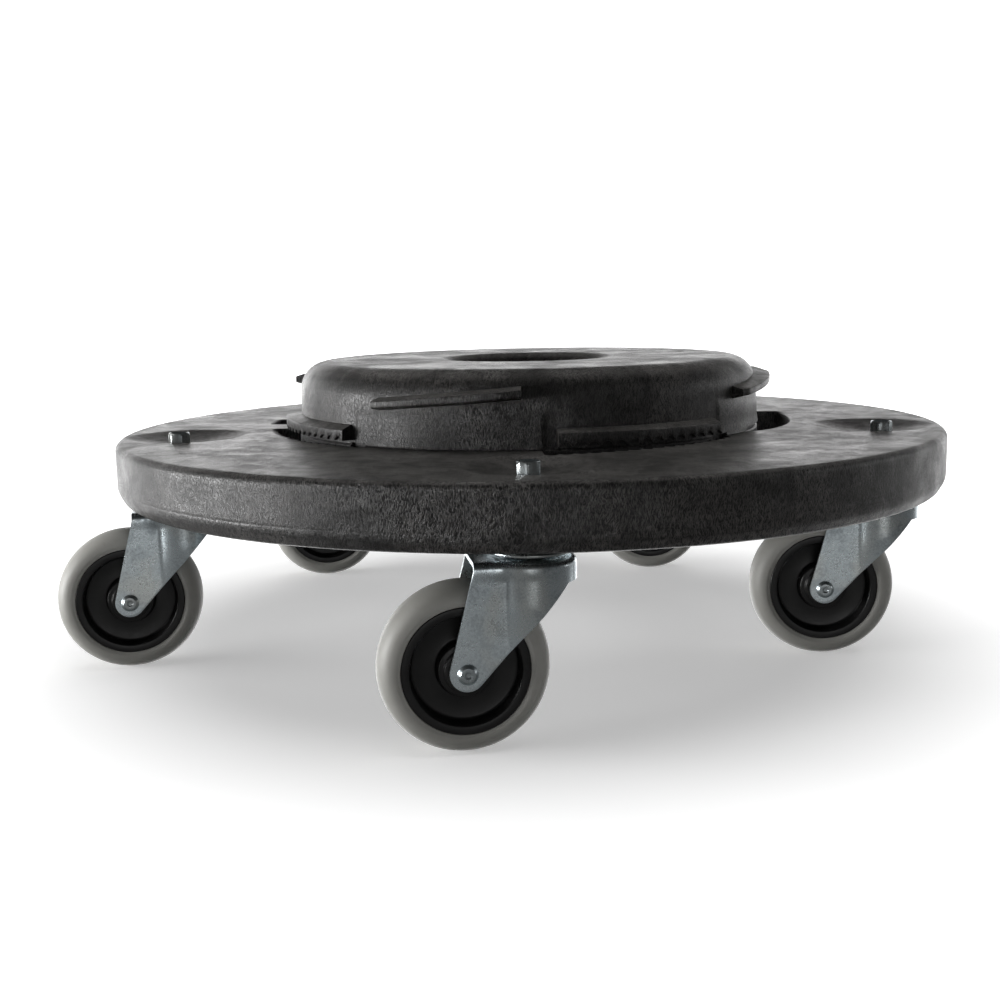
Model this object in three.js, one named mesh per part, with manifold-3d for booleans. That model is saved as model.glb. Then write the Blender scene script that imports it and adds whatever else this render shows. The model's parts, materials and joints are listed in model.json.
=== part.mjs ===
// Round twist-lock dolly: one moulded deck with a raised hub, carried on five swivel casters.
// Units are millimetres and +Z is up. The origin is on the floor, under the middle of the whole
// footprint; the trailing casters reach out to -X, so the deck's axis stands a little to the +X of it.
// Shapes are drawn about the deck's axis, and azimuths are measured round it from the front (-Y),
// positive towards +X.

import * as THREE from 'three';
import { mergeVertices } from 'three/addons/utils/BufferGeometryUtils.js';
import Module from 'manifold-3d';

const wasm = await Module();
wasm.setup();

const { degToRad } = THREE.MathUtils;

// ---- Driving dimensions ---------------------------------------------------------------------

const DECK = {
  radius: 231.8,
  bottom: 90.7,
  top: 122.2,
  plate: 7.5,
  topRound: 4,
  bottomRound: 5,
  bottomRoundHeight: 9,
  bottomChamfer: 8,
  bottomChamferHeight: 1,
  skirtInnerLow: 216.5,
  skirtInnerHigh: 224.5,
};

const HUB = {
  radius: 130.6,
  draft: 0.8,
  top: 161,
  wall: 6,
  topRound: 15,
  holeRadius: 43,
  holeRound: 8,
  collarDepth: 14,
};

const RIB = { thickness: 5, count: 10, bottom: 96, hubCount: 6, hubBottom: 140 };

// Helical locking lugs near the top of the hub wall. They get thicker towards the wall.
const LUG = {
  count: 4,
  start: -34.8,
  span: 33.5,
  leadIn: 2.2,
  taperFrom: 29,
  reach: 7.6,
  endReach: 5,
  low: 142,
  rise: 6,
  thickness: 3.8,
  wallTopExtra: 1.5,
  wallBottomExtra: 1,
  segments: 5,
};

// Ledges at the foot of the hub wall. Each one overhangs a slot through the deck plate, and has a row
// of small arches along the foot of its face.
const LEDGE = {
  count: 4,
  start: 6,
  span: 40.3,
  startReach: 8.7,
  endReach: 6.2,
  bottom: 124.9,
  topAtWall: 132.7,
  topAtEdge: 130.6,
  segments: 6,
};
const ARCH = { count: 14, radius: 3, depth: 1.2, drop: 1, sides: 12 };

// The slot under a ledge begins a little before the ledge. Its outer edge draws in towards the hub,
// and is scalloped, which leaves a row of pointed teeth.
const SLOT = { lead: 3, span: 48.3, startReach: 16.9, endReach: 3.8, scallops: 17, toothDepth: 3 };

// Side openings through the deck plate beside the hub: a long one at +X, and at -X only the back
// end of its mirror image, because a ledge fills the rest.
const OPENING = {
  front: [112, -64],
  curve: [[128.5, -55], [141, -37], [152, -5], [155.6, 26]],
  backCorner: [153.5, 48],
  leftFront: 18,
};

// The shallow bowl beside each bolt, and the flat pad in it that the bolt's head sits on.
const BOWL = { radius: 33, depth: 4.5, rings: 4, segments: 20 };
const PAD = { radius: 7.2, depth: 1.6 };

const CASTER = { circle: 198.2, bossRadius: 25, trail: 30.3 };

const BOLT = {
  radius: 3.9,
  headAcrossFlats: 10.4,
  headHeight: 6,
  headChamfer: 0.6,
  end: 70.5,
  holeRadius: 4.4,
};
const NUT = { acrossFlats: 13, height: 6.5, top: 79.2, chamfer: 0.5 };

const TOP_RACE = {
  radius: 19.6,
  lipInner: 17.2,
  lipBottom: 87.6,
  lipHeight: 1,
  shoulder: 0.5,
  thickness: 1.5,
  bore: 4.6,
};
const BALL = { radius: 1.5, circle: 14.2, count: 6, cageRadius: 0.6 };
const KINGPIN = { radius: 6, bore: 4.5, flangeRadius: 12.5, flangeThickness: 2.2, flangeTop: 83.4 };

const FORK = {
  sheet: 2,
  halfWidth: 16,
  crownRadius: 20.6,
  crownTop: 86,
  crownLip: 75.5,
  crownLipStart: 14,
  backEdge: -26.8,
  earRadius: 7.7,
  bend: 3.5,
  kingpinHole: 6.6,
  axleHole: 3.5,
  segments: 8,
};

const WHEEL = {
  radius: 38.1,
  halfWidth: 12,
  shoulder: 7.5,
  shoulderPower: 0.75,
  sideHollow: 0.8,
  treadSteps: 6,
  segments: 28,
};
const CORE = {
  radius: 28,
  halfWidth: 11.6,
  rimInner: 24.4,
  webHalf: 4,
  bossRadius: 12,
  bossHalf: 9.8,
  innerBossRadius: 9.4,
  bore: 5,
};
const AXLE = { radius: 3.15, headRadius: 4.55, headTop: 3.1, headHeight: 2 };
const BUSHING = { radius: 4.75, bore: 3.5, halfLength: 13.6 };

// Gaps that keep neighbouring pieces apart: between resting faces, and inside turned groups.
const REST_GAP = 0.1;
const TURNED_GAP = 0.3;

// How far a feature starts inside the solid it is joined to, or a cutter runs past what it cuts.
const BITE = 1;
const WALL_BITE = 3;

// Sides of the round shapes: the deck, bosses and races, and bores and pins.
const DECK_SEGMENTS = 60;
const BOSS_SEGMENTS = 16;
const BORE_SEGMENTS = 12;
const AXLE_SEGMENTS = 10;

// The deck's axis, measured from the origin.
const DECK_AXIS_X = 11.83;

// Each caster's place round the deck, the way its fork points and the way its bolt is turned, in
// degrees, and the place of its bowl's centre round the deck.
const CASTERS = [
  { name: 'front', azimuth: 0, heading: 10.2, boltTurn: 30, bowl: { azimuth: 0, circle: 179 } },
  { name: 'right', azimuth: 72, heading: -3.4, boltTurn: 0, bowl: { azimuth: 78.5, circle: 194 } },
  { name: 'back_right', azimuth: 144, heading: 1, boltTurn: 0, bowl: { azimuth: 144, circle: 179 } },
  { name: 'back_left', azimuth: -144, heading: 13, boltTurn: 0, bowl: { azimuth: -144, circle: 179 } },
  { name: 'left', azimuth: -72, heading: 14.6, boltTurn: 0, bowl: { azimuth: -78.5, circle: 194 } },
];

// ---- Materials ------------------------------------------------------------------------------

const deckPlastic = new THREE.MeshStandardMaterial({ color: 0x35332f, roughness: 0.6, metalness: 0 });
const corePlastic = new THREE.MeshStandardMaterial({ color: 0x1a1918, roughness: 0.45, metalness: 0 });
const tyreRubber = new THREE.MeshStandardMaterial({ color: 0xa8a69f, roughness: 0.75, metalness: 0 });
const zincSteel = new THREE.MeshStandardMaterial({ color: 0x9aa4a8, roughness: 0.35, metalness: 1 });
const brightSteel = new THREE.MeshStandardMaterial({ color: 0xb8bcbe, roughness: 0.25, metalness: 1 });
const bushingPlastic = new THREE.MeshStandardMaterial({ color: 0xd8d4c8, roughness: 0.5, metalness: 0 });

// ---- Solid helpers --------------------------------------------------------------------------

// A closed geometry as a manifold solid.
function solidFrom(geometry) {
  const bare = geometry.clone();
  bare.deleteAttribute('normal');
  bare.deleteAttribute('uv');
  const merged = mergeVertices(bare, 1e-4);
  const index = merged.index.array;
  const kept = [];
  for (let i = 0; i < index.length; i += 3) {
    const [a, b, c] = index.slice(i, i + 3);
    const collapsed = a === b || b === c || c === a;
    if (!collapsed) kept.push(a, b, c);
  }
  return new wasm.Manifold(new wasm.Mesh({
    numProp: 3,
    vertProperties: Float32Array.from(merged.attributes.position.array),
    triVerts: Uint32Array.from(kept),
  }));
}

function geometryFrom(solid) {
  const { vertProperties, triVerts } = solid.getMesh();
  const geometry = new THREE.BufferGeometry();
  geometry.setAttribute('position', new THREE.BufferAttribute(vertProperties, 3));
  geometry.setIndex(new THREE.BufferAttribute(triVerts, 1));
  geometry.computeVertexNormals();
  return geometry;
}

// A solid of revolution about Z. The profile holds [radius, z] points, anticlockwise.
function turned(profile, segments) {
  const points = profile.map(([r, z]) => new THREE.Vector2(r, z));
  return new THREE.LatheGeometry(points, segments).rotateX(Math.PI / 2);
}

// A ring's profile closes on itself.
function turnedRing(profile, segments) {
  return turned([...profile, profile[0]], segments);
}

// A flat outline made solid between two heights.
function prism(shape, bottom, top, curveSegments = 12) {
  const options = { depth: top - bottom, bevelEnabled: false, curveSegments };
  return new THREE.ExtrudeGeometry(shape, options).translate(0, 0, bottom);
}

// Profile points along an arc, from one angle to another in degrees. The arc may be stretched in height.
function arc(centreR, centreZ, radius, from, to, steps, heightRadius = radius) {
  const points = [];
  for (let i = 0; i <= steps; i += 1) {
    const angle = degToRad(from + (to - from) * i / steps);
    points.push([centreR + radius * Math.cos(angle), centreZ + heightRadius * Math.sin(angle)]);
  }
  return points;
}

// The plan angle, measured from +X, of an azimuth measured from the front.
function planAngle(azimuth) {
  return degToRad(azimuth - 90);
}

function polar(radius, angle) {
  return new THREE.Vector2(radius * Math.cos(angle), radius * Math.sin(angle));
}

function casterPlace({ azimuth }) {
  return polar(CASTER.circle, planAngle(azimuth));
}

function bowlPlace({ bowl }) {
  return polar(bowl.circle, planAngle(bowl.azimuth));
}

function cylinderSolid(radius, bottom, top, segments, x = 0, y = 0) {
  const profile = [[0, bottom], [radius, bottom], [radius, top], [0, top]];
  return solidFrom(turned(profile, segments).translate(x, y, 0));
}

// ---- Deck -----------------------------------------------------------------------------------

function deckProfile() {
  const underPlate = DECK.top - DECK.plate;
  const underHubTop = HUB.top - HUB.wall;
  const hubInner = HUB.radius - HUB.wall;
  const rimCentre = DECK.radius - DECK.topRound;
  const bottomCentre = DECK.radius - DECK.bottomRound;
  const sideLow = DECK.bottom + DECK.bottomChamferHeight + DECK.bottomRoundHeight;
  const hubTopWall = HUB.radius - HUB.draft;
  return [
    [HUB.holeRadius, HUB.top - HUB.collarDepth],
    [HUB.holeRadius + HUB.wall, HUB.top - HUB.collarDepth],
    [HUB.holeRadius + HUB.wall, underHubTop],
    [hubInner - HUB.topRound / 2, underHubTop],
    [hubInner, underHubTop - HUB.topRound / 2],
    [hubInner, RIB.bottom],
    [HUB.radius, RIB.bottom],
    [HUB.radius, underPlate],
    [DECK.skirtInnerHigh, underPlate],
    [DECK.skirtInnerLow, DECK.bottom],
    [bottomCentre - DECK.bottomChamfer, DECK.bottom],
    ...arc(bottomCentre, sideLow, DECK.bottomRound, -90, 0, 3, DECK.bottomRoundHeight),
    ...arc(rimCentre, DECK.top - DECK.topRound, DECK.topRound, 0, 90, 3),
    [HUB.radius, DECK.top],
    ...arc(hubTopWall - HUB.topRound, HUB.top - HUB.topRound, HUB.topRound, 0, 90, 3),
    ...arc(HUB.holeRadius + HUB.holeRound, HUB.top - HUB.holeRound, HUB.holeRound, 90, 180, 2),
  ];
}

// A radial box between two radii, centred on an azimuth.
function radialRib(azimuth, innerRadius, outerRadius, bottom, top) {
  const box = new THREE.BoxGeometry(outerRadius - innerRadius, RIB.thickness, top - bottom);
  box.translate((innerRadius + outerRadius) / 2, 0, (bottom + top) / 2);
  return solidFrom(box.rotateZ(planAngle(azimuth)));
}

function undersideRibs() {
  const ribs = [];
  for (let i = 0; i < RIB.count; i += 1) {
    const top = DECK.top - DECK.plate + BITE;
    const outer = DECK.skirtInnerLow + BITE;
    ribs.push(radialRib(360 * i / RIB.count, HUB.radius - BITE, outer, RIB.bottom, top));
  }
  for (let i = 0; i < RIB.hubCount; i += 1) {
    const inner = HUB.holeRadius + HUB.wall - BITE;
    const outer = HUB.radius - HUB.wall + BITE;
    const azimuth = 360 * (i + 0.5) / RIB.hubCount;
    ribs.push(radialRib(azimuth, inner, outer, RIB.hubBottom, HUB.top - HUB.wall + BITE));
  }
  return ribs;
}

// A ring sector in plan. The outer edge starts after leadIn degrees, and tapers in from taperFrom
// degrees to endRadius.
function sectorShape(start, span, innerRadius, outerRadius, ends = {}) {
  const { leadIn = 0, taperFrom = span, endRadius = outerRadius } = ends;
  const end = planAngle(start + span);
  const shape = new THREE.Shape();
  shape.absarc(0, 0, outerRadius, planAngle(start + leadIn), planAngle(start + taperFrom), false);
  shape.lineTo(endRadius * Math.cos(end), endRadius * Math.sin(end));
  shape.absarc(0, 0, innerRadius, end, planAngle(start), true);
  return shape;
}

// Moves every vertex up by an amount worked out from its place.
function lift(geometry, amount) {
  const position = geometry.attributes.position;
  const point = new THREE.Vector3();
  for (let i = 0; i < position.count; i += 1) {
    point.fromBufferAttribute(position, i);
    position.setZ(i, point.z + amount(point));
  }
  return geometry;
}

// The angle round Z from a first direction to a point, between -pi and pi.
function angleFrom(first, point) {
  const along = Math.atan2(point.y, point.x) - first;
  return THREE.MathUtils.euclideanModulo(along + Math.PI, 2 * Math.PI) - Math.PI;
}

// One locking lug, which climbs along the hub wall like a screw thread.
function lug(turn) {
  const start = LUG.start + turn;
  const inner = HUB.radius - WALL_BITE;
  const outer = HUB.radius + LUG.reach;
  const ends = { leadIn: LUG.leadIn, taperFrom: LUG.taperFrom, endRadius: HUB.radius + LUG.endReach };
  const shape = sectorShape(start, LUG.span, inner, outer, ends);
  const flat = prism(shape, LUG.low, LUG.low + LUG.thickness, LUG.segments);
  const climbed = lift(flat, (point) => {
    const along = angleFrom(planAngle(start), point) / degToRad(LUG.span);
    const towardsWall = (outer - Math.hypot(point.x, point.y)) / LUG.reach;
    const isTop = point.z > LUG.low + LUG.thickness / 2;
    const extra = isTop ? LUG.wallTopExtra : -LUG.wallBottomExtra;
    return LUG.rise * along + extra * towardsWall;
  });
  return solidFrom(climbed);
}

// One ledge, with a sloping top and an upright face that draws in towards the end.
function ledge(turn) {
  const start = LEDGE.start + turn;
  const inner = [];
  const outer = [];
  for (let i = 0; i <= LEDGE.segments; i += 1) {
    const along = i / LEDGE.segments;
    const angle = planAngle(start + LEDGE.span * along);
    const reach = THREE.MathUtils.lerp(LEDGE.startReach, LEDGE.endReach, along);
    inner.push(polar(HUB.radius - WALL_BITE, angle));
    outer.push(polar(HUB.radius + reach, angle));
  }
  const flat = prism(new THREE.Shape([...outer, ...inner.toReversed()]), LEDGE.bottom, LEDGE.topAtWall);
  return solidFrom(lift(flat, (point) => {
    const isTop = point.z > (LEDGE.bottom + LEDGE.topAtWall) / 2;
    const isOutside = Math.hypot(point.x, point.y) > HUB.radius;
    return isTop && isOutside ? LEDGE.topAtEdge - LEDGE.topAtWall : 0;
  }));
}

// A round cutter that lies along a radius, with its axis a little below the foot of the ledge's face.
function archCutter(turn, along) {
  const angle = planAngle(LEDGE.start + turn + LEDGE.span * along);
  const face = HUB.radius + THREE.MathUtils.lerp(LEDGE.startReach, LEDGE.endReach, along);
  const length = ARCH.depth + WALL_BITE;
  const cutter = new THREE.CylinderGeometry(ARCH.radius, ARCH.radius, length, ARCH.sides);
  cutter.rotateZ(Math.PI / 2).translate(face - ARCH.depth + length / 2, 0, LEDGE.bottom - ARCH.drop);
  return solidFrom(cutter.rotateZ(angle));
}

function archedLedge(turn) {
  let solid = ledge(turn);
  for (let i = 0; i < ARCH.count; i += 1) {
    solid = solid.subtract(archCutter(turn, (i + 0.5) / ARCH.count));
  }
  return solid;
}

// The slot in the deck plate under a ledge.
function ledgeSlot(turn) {
  const start = LEDGE.start - SLOT.lead + turn;
  const pointsPerScallop = 4;
  const steps = SLOT.scallops * pointsPerScallop;
  const inner = [];
  const outer = [];
  for (let i = 0; i <= steps; i += 1) {
    const along = i / steps;
    const angle = planAngle(start + SLOT.span * along);
    const scallop = Math.abs(Math.sin(Math.PI * i / pointsPerScallop)) - 0.5;
    const reach = THREE.MathUtils.lerp(SLOT.startReach, SLOT.endReach, along);
    outer.push(polar(HUB.radius + reach + SLOT.toothDepth * scallop, angle));
    if (i % pointsPerScallop === 0) {
      inner.push(polar(HUB.radius + BITE, angle));
    }
  }
  const shape = new THREE.Shape([...outer, ...inner.toReversed()]);
  return solidFrom(prism(shape, RIB.bottom - BITE, DECK.top + BITE));
}

// A D-shaped side opening, without the part in front of the given y. It runs on under the hub.
function sideOpening(side, front) {
  const shape = new THREE.Shape();
  const [frontX, frontY] = OPENING.front;
  const [backX, backY] = OPENING.backCorner;
  shape.moveTo(frontX, frontY);
  shape.splineThru(OPENING.curve.map(([x, y]) => new THREE.Vector2(x, y)));
  shape.lineTo(backX, backY);
  shape.lineTo(frontX, backY);
  const outline = shape.getPoints(3).map(({ x, y }) => new THREE.Vector2(side * x, y));
  const whole = solidFrom(prism(new THREE.Shape(outline), RIB.bottom - BITE, HUB.top));
  const width = 4 * DECK.radius;
  const cut = new THREE.BoxGeometry(width, width, width).translate(0, front - width / 2, 0);
  return whole.subtract(solidFrom(cut));
}

// The bowl beside a bolt, as a shallow round cutter.
function bowlCutter({ x, y }) {
  const profile = [];
  for (let i = 0; i <= BOWL.rings; i += 1) {
    const share = i / BOWL.rings;
    profile.push([BOWL.radius * share, DECK.top - BOWL.depth * (1 - share * share)]);
  }
  const high = DECK.top + BITE;
  profile.push([BOWL.radius + BITE, high], [0, high]);
  return solidFrom(turned(profile, BOWL.segments).translate(x, y, 0));
}

function deckGeometry() {
  let deck = solidFrom(turnedRing(deckProfile(), DECK_SEGMENTS));
  for (const rib of undersideRibs()) {
    deck = deck.add(rib);
  }
  for (const caster of CASTERS) {
    const { x, y } = casterPlace(caster);
    const bossTop = DECK.top - DECK.plate + BITE;
    deck = deck.add(cylinderSolid(CASTER.bossRadius, DECK.bottom, bossTop, BOSS_SEGMENTS, x, y));
  }
  const hub = cylinderSolid(HUB.radius + BITE, DECK.bottom, HUB.top + BITE, DECK_SEGMENTS);
  const openings = sideOpening(1, OPENING.front[1]).add(sideOpening(-1, OPENING.leftFront));
  deck = deck.subtract(openings.subtract(hub));
  for (let i = 0; i < LEDGE.count; i += 1) {
    const turn = 360 * i / LEDGE.count;
    deck = deck.subtract(ledgeSlot(turn)).add(archedLedge(turn).subtract(openings));
  }
  for (let i = 0; i < LUG.count; i += 1) {
    deck = deck.add(lug(360 * i / LUG.count));
  }
  for (const caster of CASTERS) {
    const { x, y } = casterPlace(caster);
    const padTop = DECK.top - PAD.depth;
    const pad = cylinderSolid(PAD.radius, DECK.top - DECK.plate, padTop, BOSS_SEGMENTS, x, y);
    const abovePad = cylinderSolid(PAD.radius, padTop, DECK.top + BITE, BOSS_SEGMENTS, x, y);
    const hole = cylinderSolid(BOLT.holeRadius, DECK.bottom - BITE, DECK.top + BITE, BORE_SEGMENTS, x, y);
    deck = deck.subtract(bowlCutter(bowlPlace(caster))).add(pad).subtract(abovePad).subtract(hole);
  }
  return geometryFrom(deck);
}

// ---- Caster pieces that stay with the deck ----------------------------------------------------

const HEAD_BOTTOM = DECK.top - PAD.depth + REST_GAP;

// A six-sided solid of revolution, with its flats facing +Y and -Y.
function hexCylinder(acrossFlats, bottom, top, chamfer) {
  const corner = acrossFlats / Math.sqrt(3);
  const profile = [
    [0, bottom],
    [corner, bottom],
    [corner, top - chamfer],
    [corner - chamfer * 2, top],
    [0, top],
  ];
  return solidFrom(turned(profile, 6).rotateZ(Math.PI / 6));
}

function boltGeometry() {
  const headTop = HEAD_BOTTOM + BOLT.headHeight;
  const head = hexCylinder(BOLT.headAcrossFlats, HEAD_BOTTOM, headTop, BOLT.headChamfer);
  const shank = cylinderSolid(BOLT.radius, BOLT.end, HEAD_BOTTOM + BITE, BORE_SEGMENTS);
  return geometryFrom(head.add(shank));
}

// The pressed upper race: a plate against the deck with a rolled lip that covers the balls.
function topRaceGeometry() {
  const top = DECK.bottom - REST_GAP;
  const under = top - TOP_RACE.thickness;
  return turnedRing([
    [TOP_RACE.bore, under],
    [TOP_RACE.lipInner, under],
    [TOP_RACE.lipInner, TOP_RACE.lipBottom],
    [TOP_RACE.radius, TOP_RACE.lipBottom],
    [TOP_RACE.radius, TOP_RACE.lipBottom + TOP_RACE.lipHeight],
    [TOP_RACE.lipInner + TOP_RACE.shoulder, top],
    [TOP_RACE.bore, top],
  ], BOSS_SEGMENTS);
}

// The ring of balls in their cage, one body.
function ballRingGeometry() {
  const height = FORK.crownTop + REST_GAP + BALL.radius;
  const cageProfile = [
    [BALL.circle - BALL.cageRadius, height - BALL.cageRadius],
    [BALL.circle + BALL.cageRadius, height - BALL.cageRadius],
    [BALL.circle + BALL.cageRadius, height + BALL.cageRadius],
    [BALL.circle - BALL.cageRadius, height + BALL.cageRadius],
  ];
  let ring = solidFrom(turnedRing(cageProfile, 2 * BALL.count));
  for (let i = 0; i < BALL.count; i += 1) {
    const angle = 2 * Math.PI * i / BALL.count;
    const ball = new THREE.SphereGeometry(BALL.radius, 4, 2);
    ball.translate(BALL.circle * Math.cos(angle), BALL.circle * Math.sin(angle), height);
    ring = ring.add(solidFrom(ball));
  }
  return geometryFrom(ring);
}

// The hollow kingpin, whose lower flange holds the fork's crown up against the balls.
function kingpinGeometry() {
  const raceBottom = DECK.bottom - REST_GAP - TOP_RACE.thickness;
  const flangeBottom = KINGPIN.flangeTop - KINGPIN.flangeThickness;
  return turnedRing([
    [KINGPIN.bore, flangeBottom],
    [KINGPIN.flangeRadius, flangeBottom],
    [KINGPIN.flangeRadius, KINGPIN.flangeTop],
    [KINGPIN.radius, KINGPIN.flangeTop],
    [KINGPIN.radius, raceBottom - REST_GAP],
    [KINGPIN.bore, raceBottom - REST_GAP],
  ], BORE_SEGMENTS);
}

function nutGeometry() {
  const body = hexCylinder(NUT.acrossFlats, NUT.top - NUT.height, NUT.top, NUT.chamfer);
  const bore = cylinderSolid(BOLT.radius + TURNED_GAP, 0, DECK.bottom, BORE_SEGMENTS);
  return geometryFrom(body.subtract(bore));
}

// ---- Fork and wheel ---------------------------------------------------------------------------
// The fork's frame has its origin on the swivel axis at floor level. The wheel trails towards -X.

// The fork's plan: two parallel legs that run into a round crown.
function forkPlan(inset) {
  const halfWidth = FORK.halfWidth - inset;
  const radius = FORK.crownRadius - inset;
  const joinAngle = Math.PI - Math.asin(halfWidth / radius);
  const back = -CASTER.trail - 2 * FORK.earRadius;
  const shape = new THREE.Shape();
  shape.moveTo(back, -halfWidth);
  shape.lineTo(radius * Math.cos(joinAngle), -halfWidth);
  shape.absarc(0, 0, radius, -joinAngle, joinAngle, false);
  shape.lineTo(back, halfWidth);
  return shape;
}

// The plan drawn down from the crown, with its top edge rounded as a pressing's is.
function forkBlock(inset, top, bend) {
  const bottom = CASTER.trail - 2 * FORK.earRadius;
  const options = {
    depth: top - bottom - 2 * bend,
    bevelThickness: bend,
    bevelSize: bend,
    bevelOffset: -bend,
    bevelSegments: 1,
    curveSegments: FORK.segments,
  };
  const block = new THREE.ExtrudeGeometry(forkPlan(inset), options);
  return solidFrom(block.translate(0, 0, bottom + bend));
}

// The fork seen from the side: a round ear at the axle, widening up to the crown.
function forkSideShape() {
  const ear = new THREE.Vector2(-CASTER.trail, WHEEL.radius);
  const backTop = new THREE.Vector2(FORK.backEdge, FORK.crownTop);
  const lipStart = new THREE.Vector2(FORK.crownLipStart, FORK.crownLip);
  const beyond = FORK.crownRadius + WALL_BITE;
  const toBack = backTop.clone().sub(ear);
  const toLip = lipStart.clone().sub(ear);
  const backTangent = toBack.angle() + Math.acos(FORK.earRadius / toBack.length());
  const lipTangent = toLip.angle() - Math.acos(FORK.earRadius / toLip.length());
  const shape = new THREE.Shape();
  shape.moveTo(lipStart.x, lipStart.y);
  shape.lineTo(beyond, FORK.crownLip);
  shape.lineTo(beyond, FORK.crownTop + BITE);
  shape.lineTo(backTop.x, FORK.crownTop + BITE);
  shape.lineTo(backTop.x, backTop.y);
  shape.absarc(ear.x, ear.y, FORK.earRadius, backTangent, lipTangent + 2 * Math.PI, false);
  return shape;
}

function forkGeometry() {
  const outer = forkBlock(0, FORK.crownTop, FORK.bend);
  const inner = forkBlock(FORK.sheet, FORK.crownTop - FORK.sheet, FORK.bend - FORK.sheet);
  const reach = FORK.crownRadius + WALL_BITE;
  const side = prism(forkSideShape(), -reach, reach, FORK.segments).rotateX(Math.PI / 2);
  const kingpinHole = cylinderSolid(FORK.kingpinHole, FORK.crownLip, FORK.crownTop + BITE, BORE_SEGMENTS);
  const axleHole = new THREE.CylinderGeometry(FORK.axleHole, FORK.axleHole, 2 * reach, AXLE_SEGMENTS);
  axleHole.translate(-CASTER.trail, 0, WHEEL.radius);
  const fork = outer.subtract(inner).intersect(solidFrom(side));
  return geometryFrom(fork.subtract(kingpinHole).subtract(solidFrom(axleHole)));
}

// Wheel pieces are turned about Z, then laid over so that they spin about Y.
function layOver(geometry) {
  return geometry.rotateX(Math.PI / 2);
}

// The axle rivet, with a low cone head outside each ear.
function axleGeometry() {
  const seat = FORK.halfWidth + TURNED_GAP;
  const end = seat + AXLE.headHeight;
  return layOver(turned([
    [0, -end],
    [AXLE.headTop, -end],
    [AXLE.headRadius, -seat],
    [AXLE.radius, -seat],
    [AXLE.radius, seat],
    [AXLE.headRadius, seat],
    [AXLE.headTop, end],
    [0, end],
  ], AXLE_SEGMENTS));
}

function bushingGeometry() {
  return layOver(turnedRing([
    [BUSHING.bore, -BUSHING.halfLength],
    [BUSHING.radius, -BUSHING.halfLength],
    [BUSHING.radius, BUSHING.halfLength],
    [BUSHING.bore, BUSHING.halfLength],
  ], AXLE_SEGMENTS));
}

// The wheel's core: a rim, a thin web and a stepped boss round the bore.
function coreGeometry() {
  const half = [
    [CORE.bore, CORE.halfWidth],
    [CORE.innerBossRadius, CORE.halfWidth],
    [CORE.bossRadius, CORE.bossHalf],
    [CORE.bossRadius, CORE.webHalf],
    [CORE.rimInner, CORE.webHalf],
    [CORE.rimInner, CORE.halfWidth],
    [CORE.radius, CORE.halfWidth],
  ];
  const lower = half.map(([r, z]) => [r, -z]);
  return layOver(turnedRing([...lower, ...half.toReversed()], BOSS_SEGMENTS));
}

// The tyre: flat sides, and a crowned tread that runs into them on a wide round.
function tyreGeometry() {
  const seat = CORE.radius + TURNED_GAP;
  const side = WHEEL.halfWidth - WHEEL.sideHollow;
  const crown = WHEEL.radius;
  const tread = [];
  for (let i = 0; i <= WHEEL.treadSteps; i += 1) {
    const angle = Math.PI * (i / WHEEL.treadSteps - 0.5);
    const round = Math.pow(Math.abs(Math.cos(angle)), WHEEL.shoulderPower);
    const width = side + WHEEL.sideHollow * round;
    tread.push([crown - WHEEL.shoulder + WHEEL.shoulder * round, width * Math.sin(angle)]);
  }
  return layOver(turnedRing([[seat, -side], ...tread, [seat, side]], WHEEL.segments));
}

// ---- Assembly ---------------------------------------------------------------------------------

function piece(name, geometry, material) {
  const mesh = new THREE.Mesh(geometry, material);
  mesh.name = name;
  return mesh;
}

const shared = {
  bolt: boltGeometry(),
  topRace: topRaceGeometry(),
  ballRing: ballRingGeometry(),
  kingpin: kingpinGeometry(),
  nut: nutGeometry(),
  fork: forkGeometry(),
  axle: axleGeometry(),
  bushing: bushingGeometry(),
  core: coreGeometry(),
  tyre: tyreGeometry(),
};

function wheelGroup({ name }) {
  const wheel = new THREE.Group();
  wheel.add(piece(`axle_${name}`, shared.axle, brightSteel));
  wheel.add(piece(`bushing_${name}`, shared.bushing, bushingPlastic));
  wheel.add(piece(`wheel_core_${name}`, shared.core, corePlastic));
  wheel.add(piece(`tyre_${name}`, shared.tyre, tyreRubber));
  wheel.position.set(-CASTER.trail, 0, WHEEL.radius);
  return wheel;
}

function casterGroup(caster) {
  const { name, heading, boltTurn } = caster;
  const swivel = new THREE.Group();
  swivel.add(piece(`fork_${name}`, shared.fork, zincSteel));
  swivel.add(wheelGroup(caster));
  swivel.rotation.z = degToRad(heading);

  const group = new THREE.Group();
  const bolt = piece(`bolt_${name}`, shared.bolt, brightSteel);
  bolt.rotation.z = degToRad(boltTurn);
  group.add(bolt);
  group.add(piece(`top_race_${name}`, shared.topRace, brightSteel));
  group.add(piece(`ball_ring_${name}`, shared.ballRing, brightSteel));
  group.add(piece(`kingpin_${name}`, shared.kingpin, zincSteel));
  group.add(piece(`nut_${name}`, shared.nut, zincSteel));
  group.add(swivel);
  const { x, y } = casterPlace(caster);
  group.position.set(x, y, 0);
  return group;
}

function dolly() {
  const group = new THREE.Group();
  group.add(piece('deck', deckGeometry(), deckPlastic));
  for (const caster of CASTERS) {
    group.add(casterGroup(caster));
  }
  group.position.x = DECK_AXIS_X;
  return group;
}

export default dolly();
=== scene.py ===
import json
import math

import bmesh
import bpy
import numpy as np
from mathutils import Matrix, Vector


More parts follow.
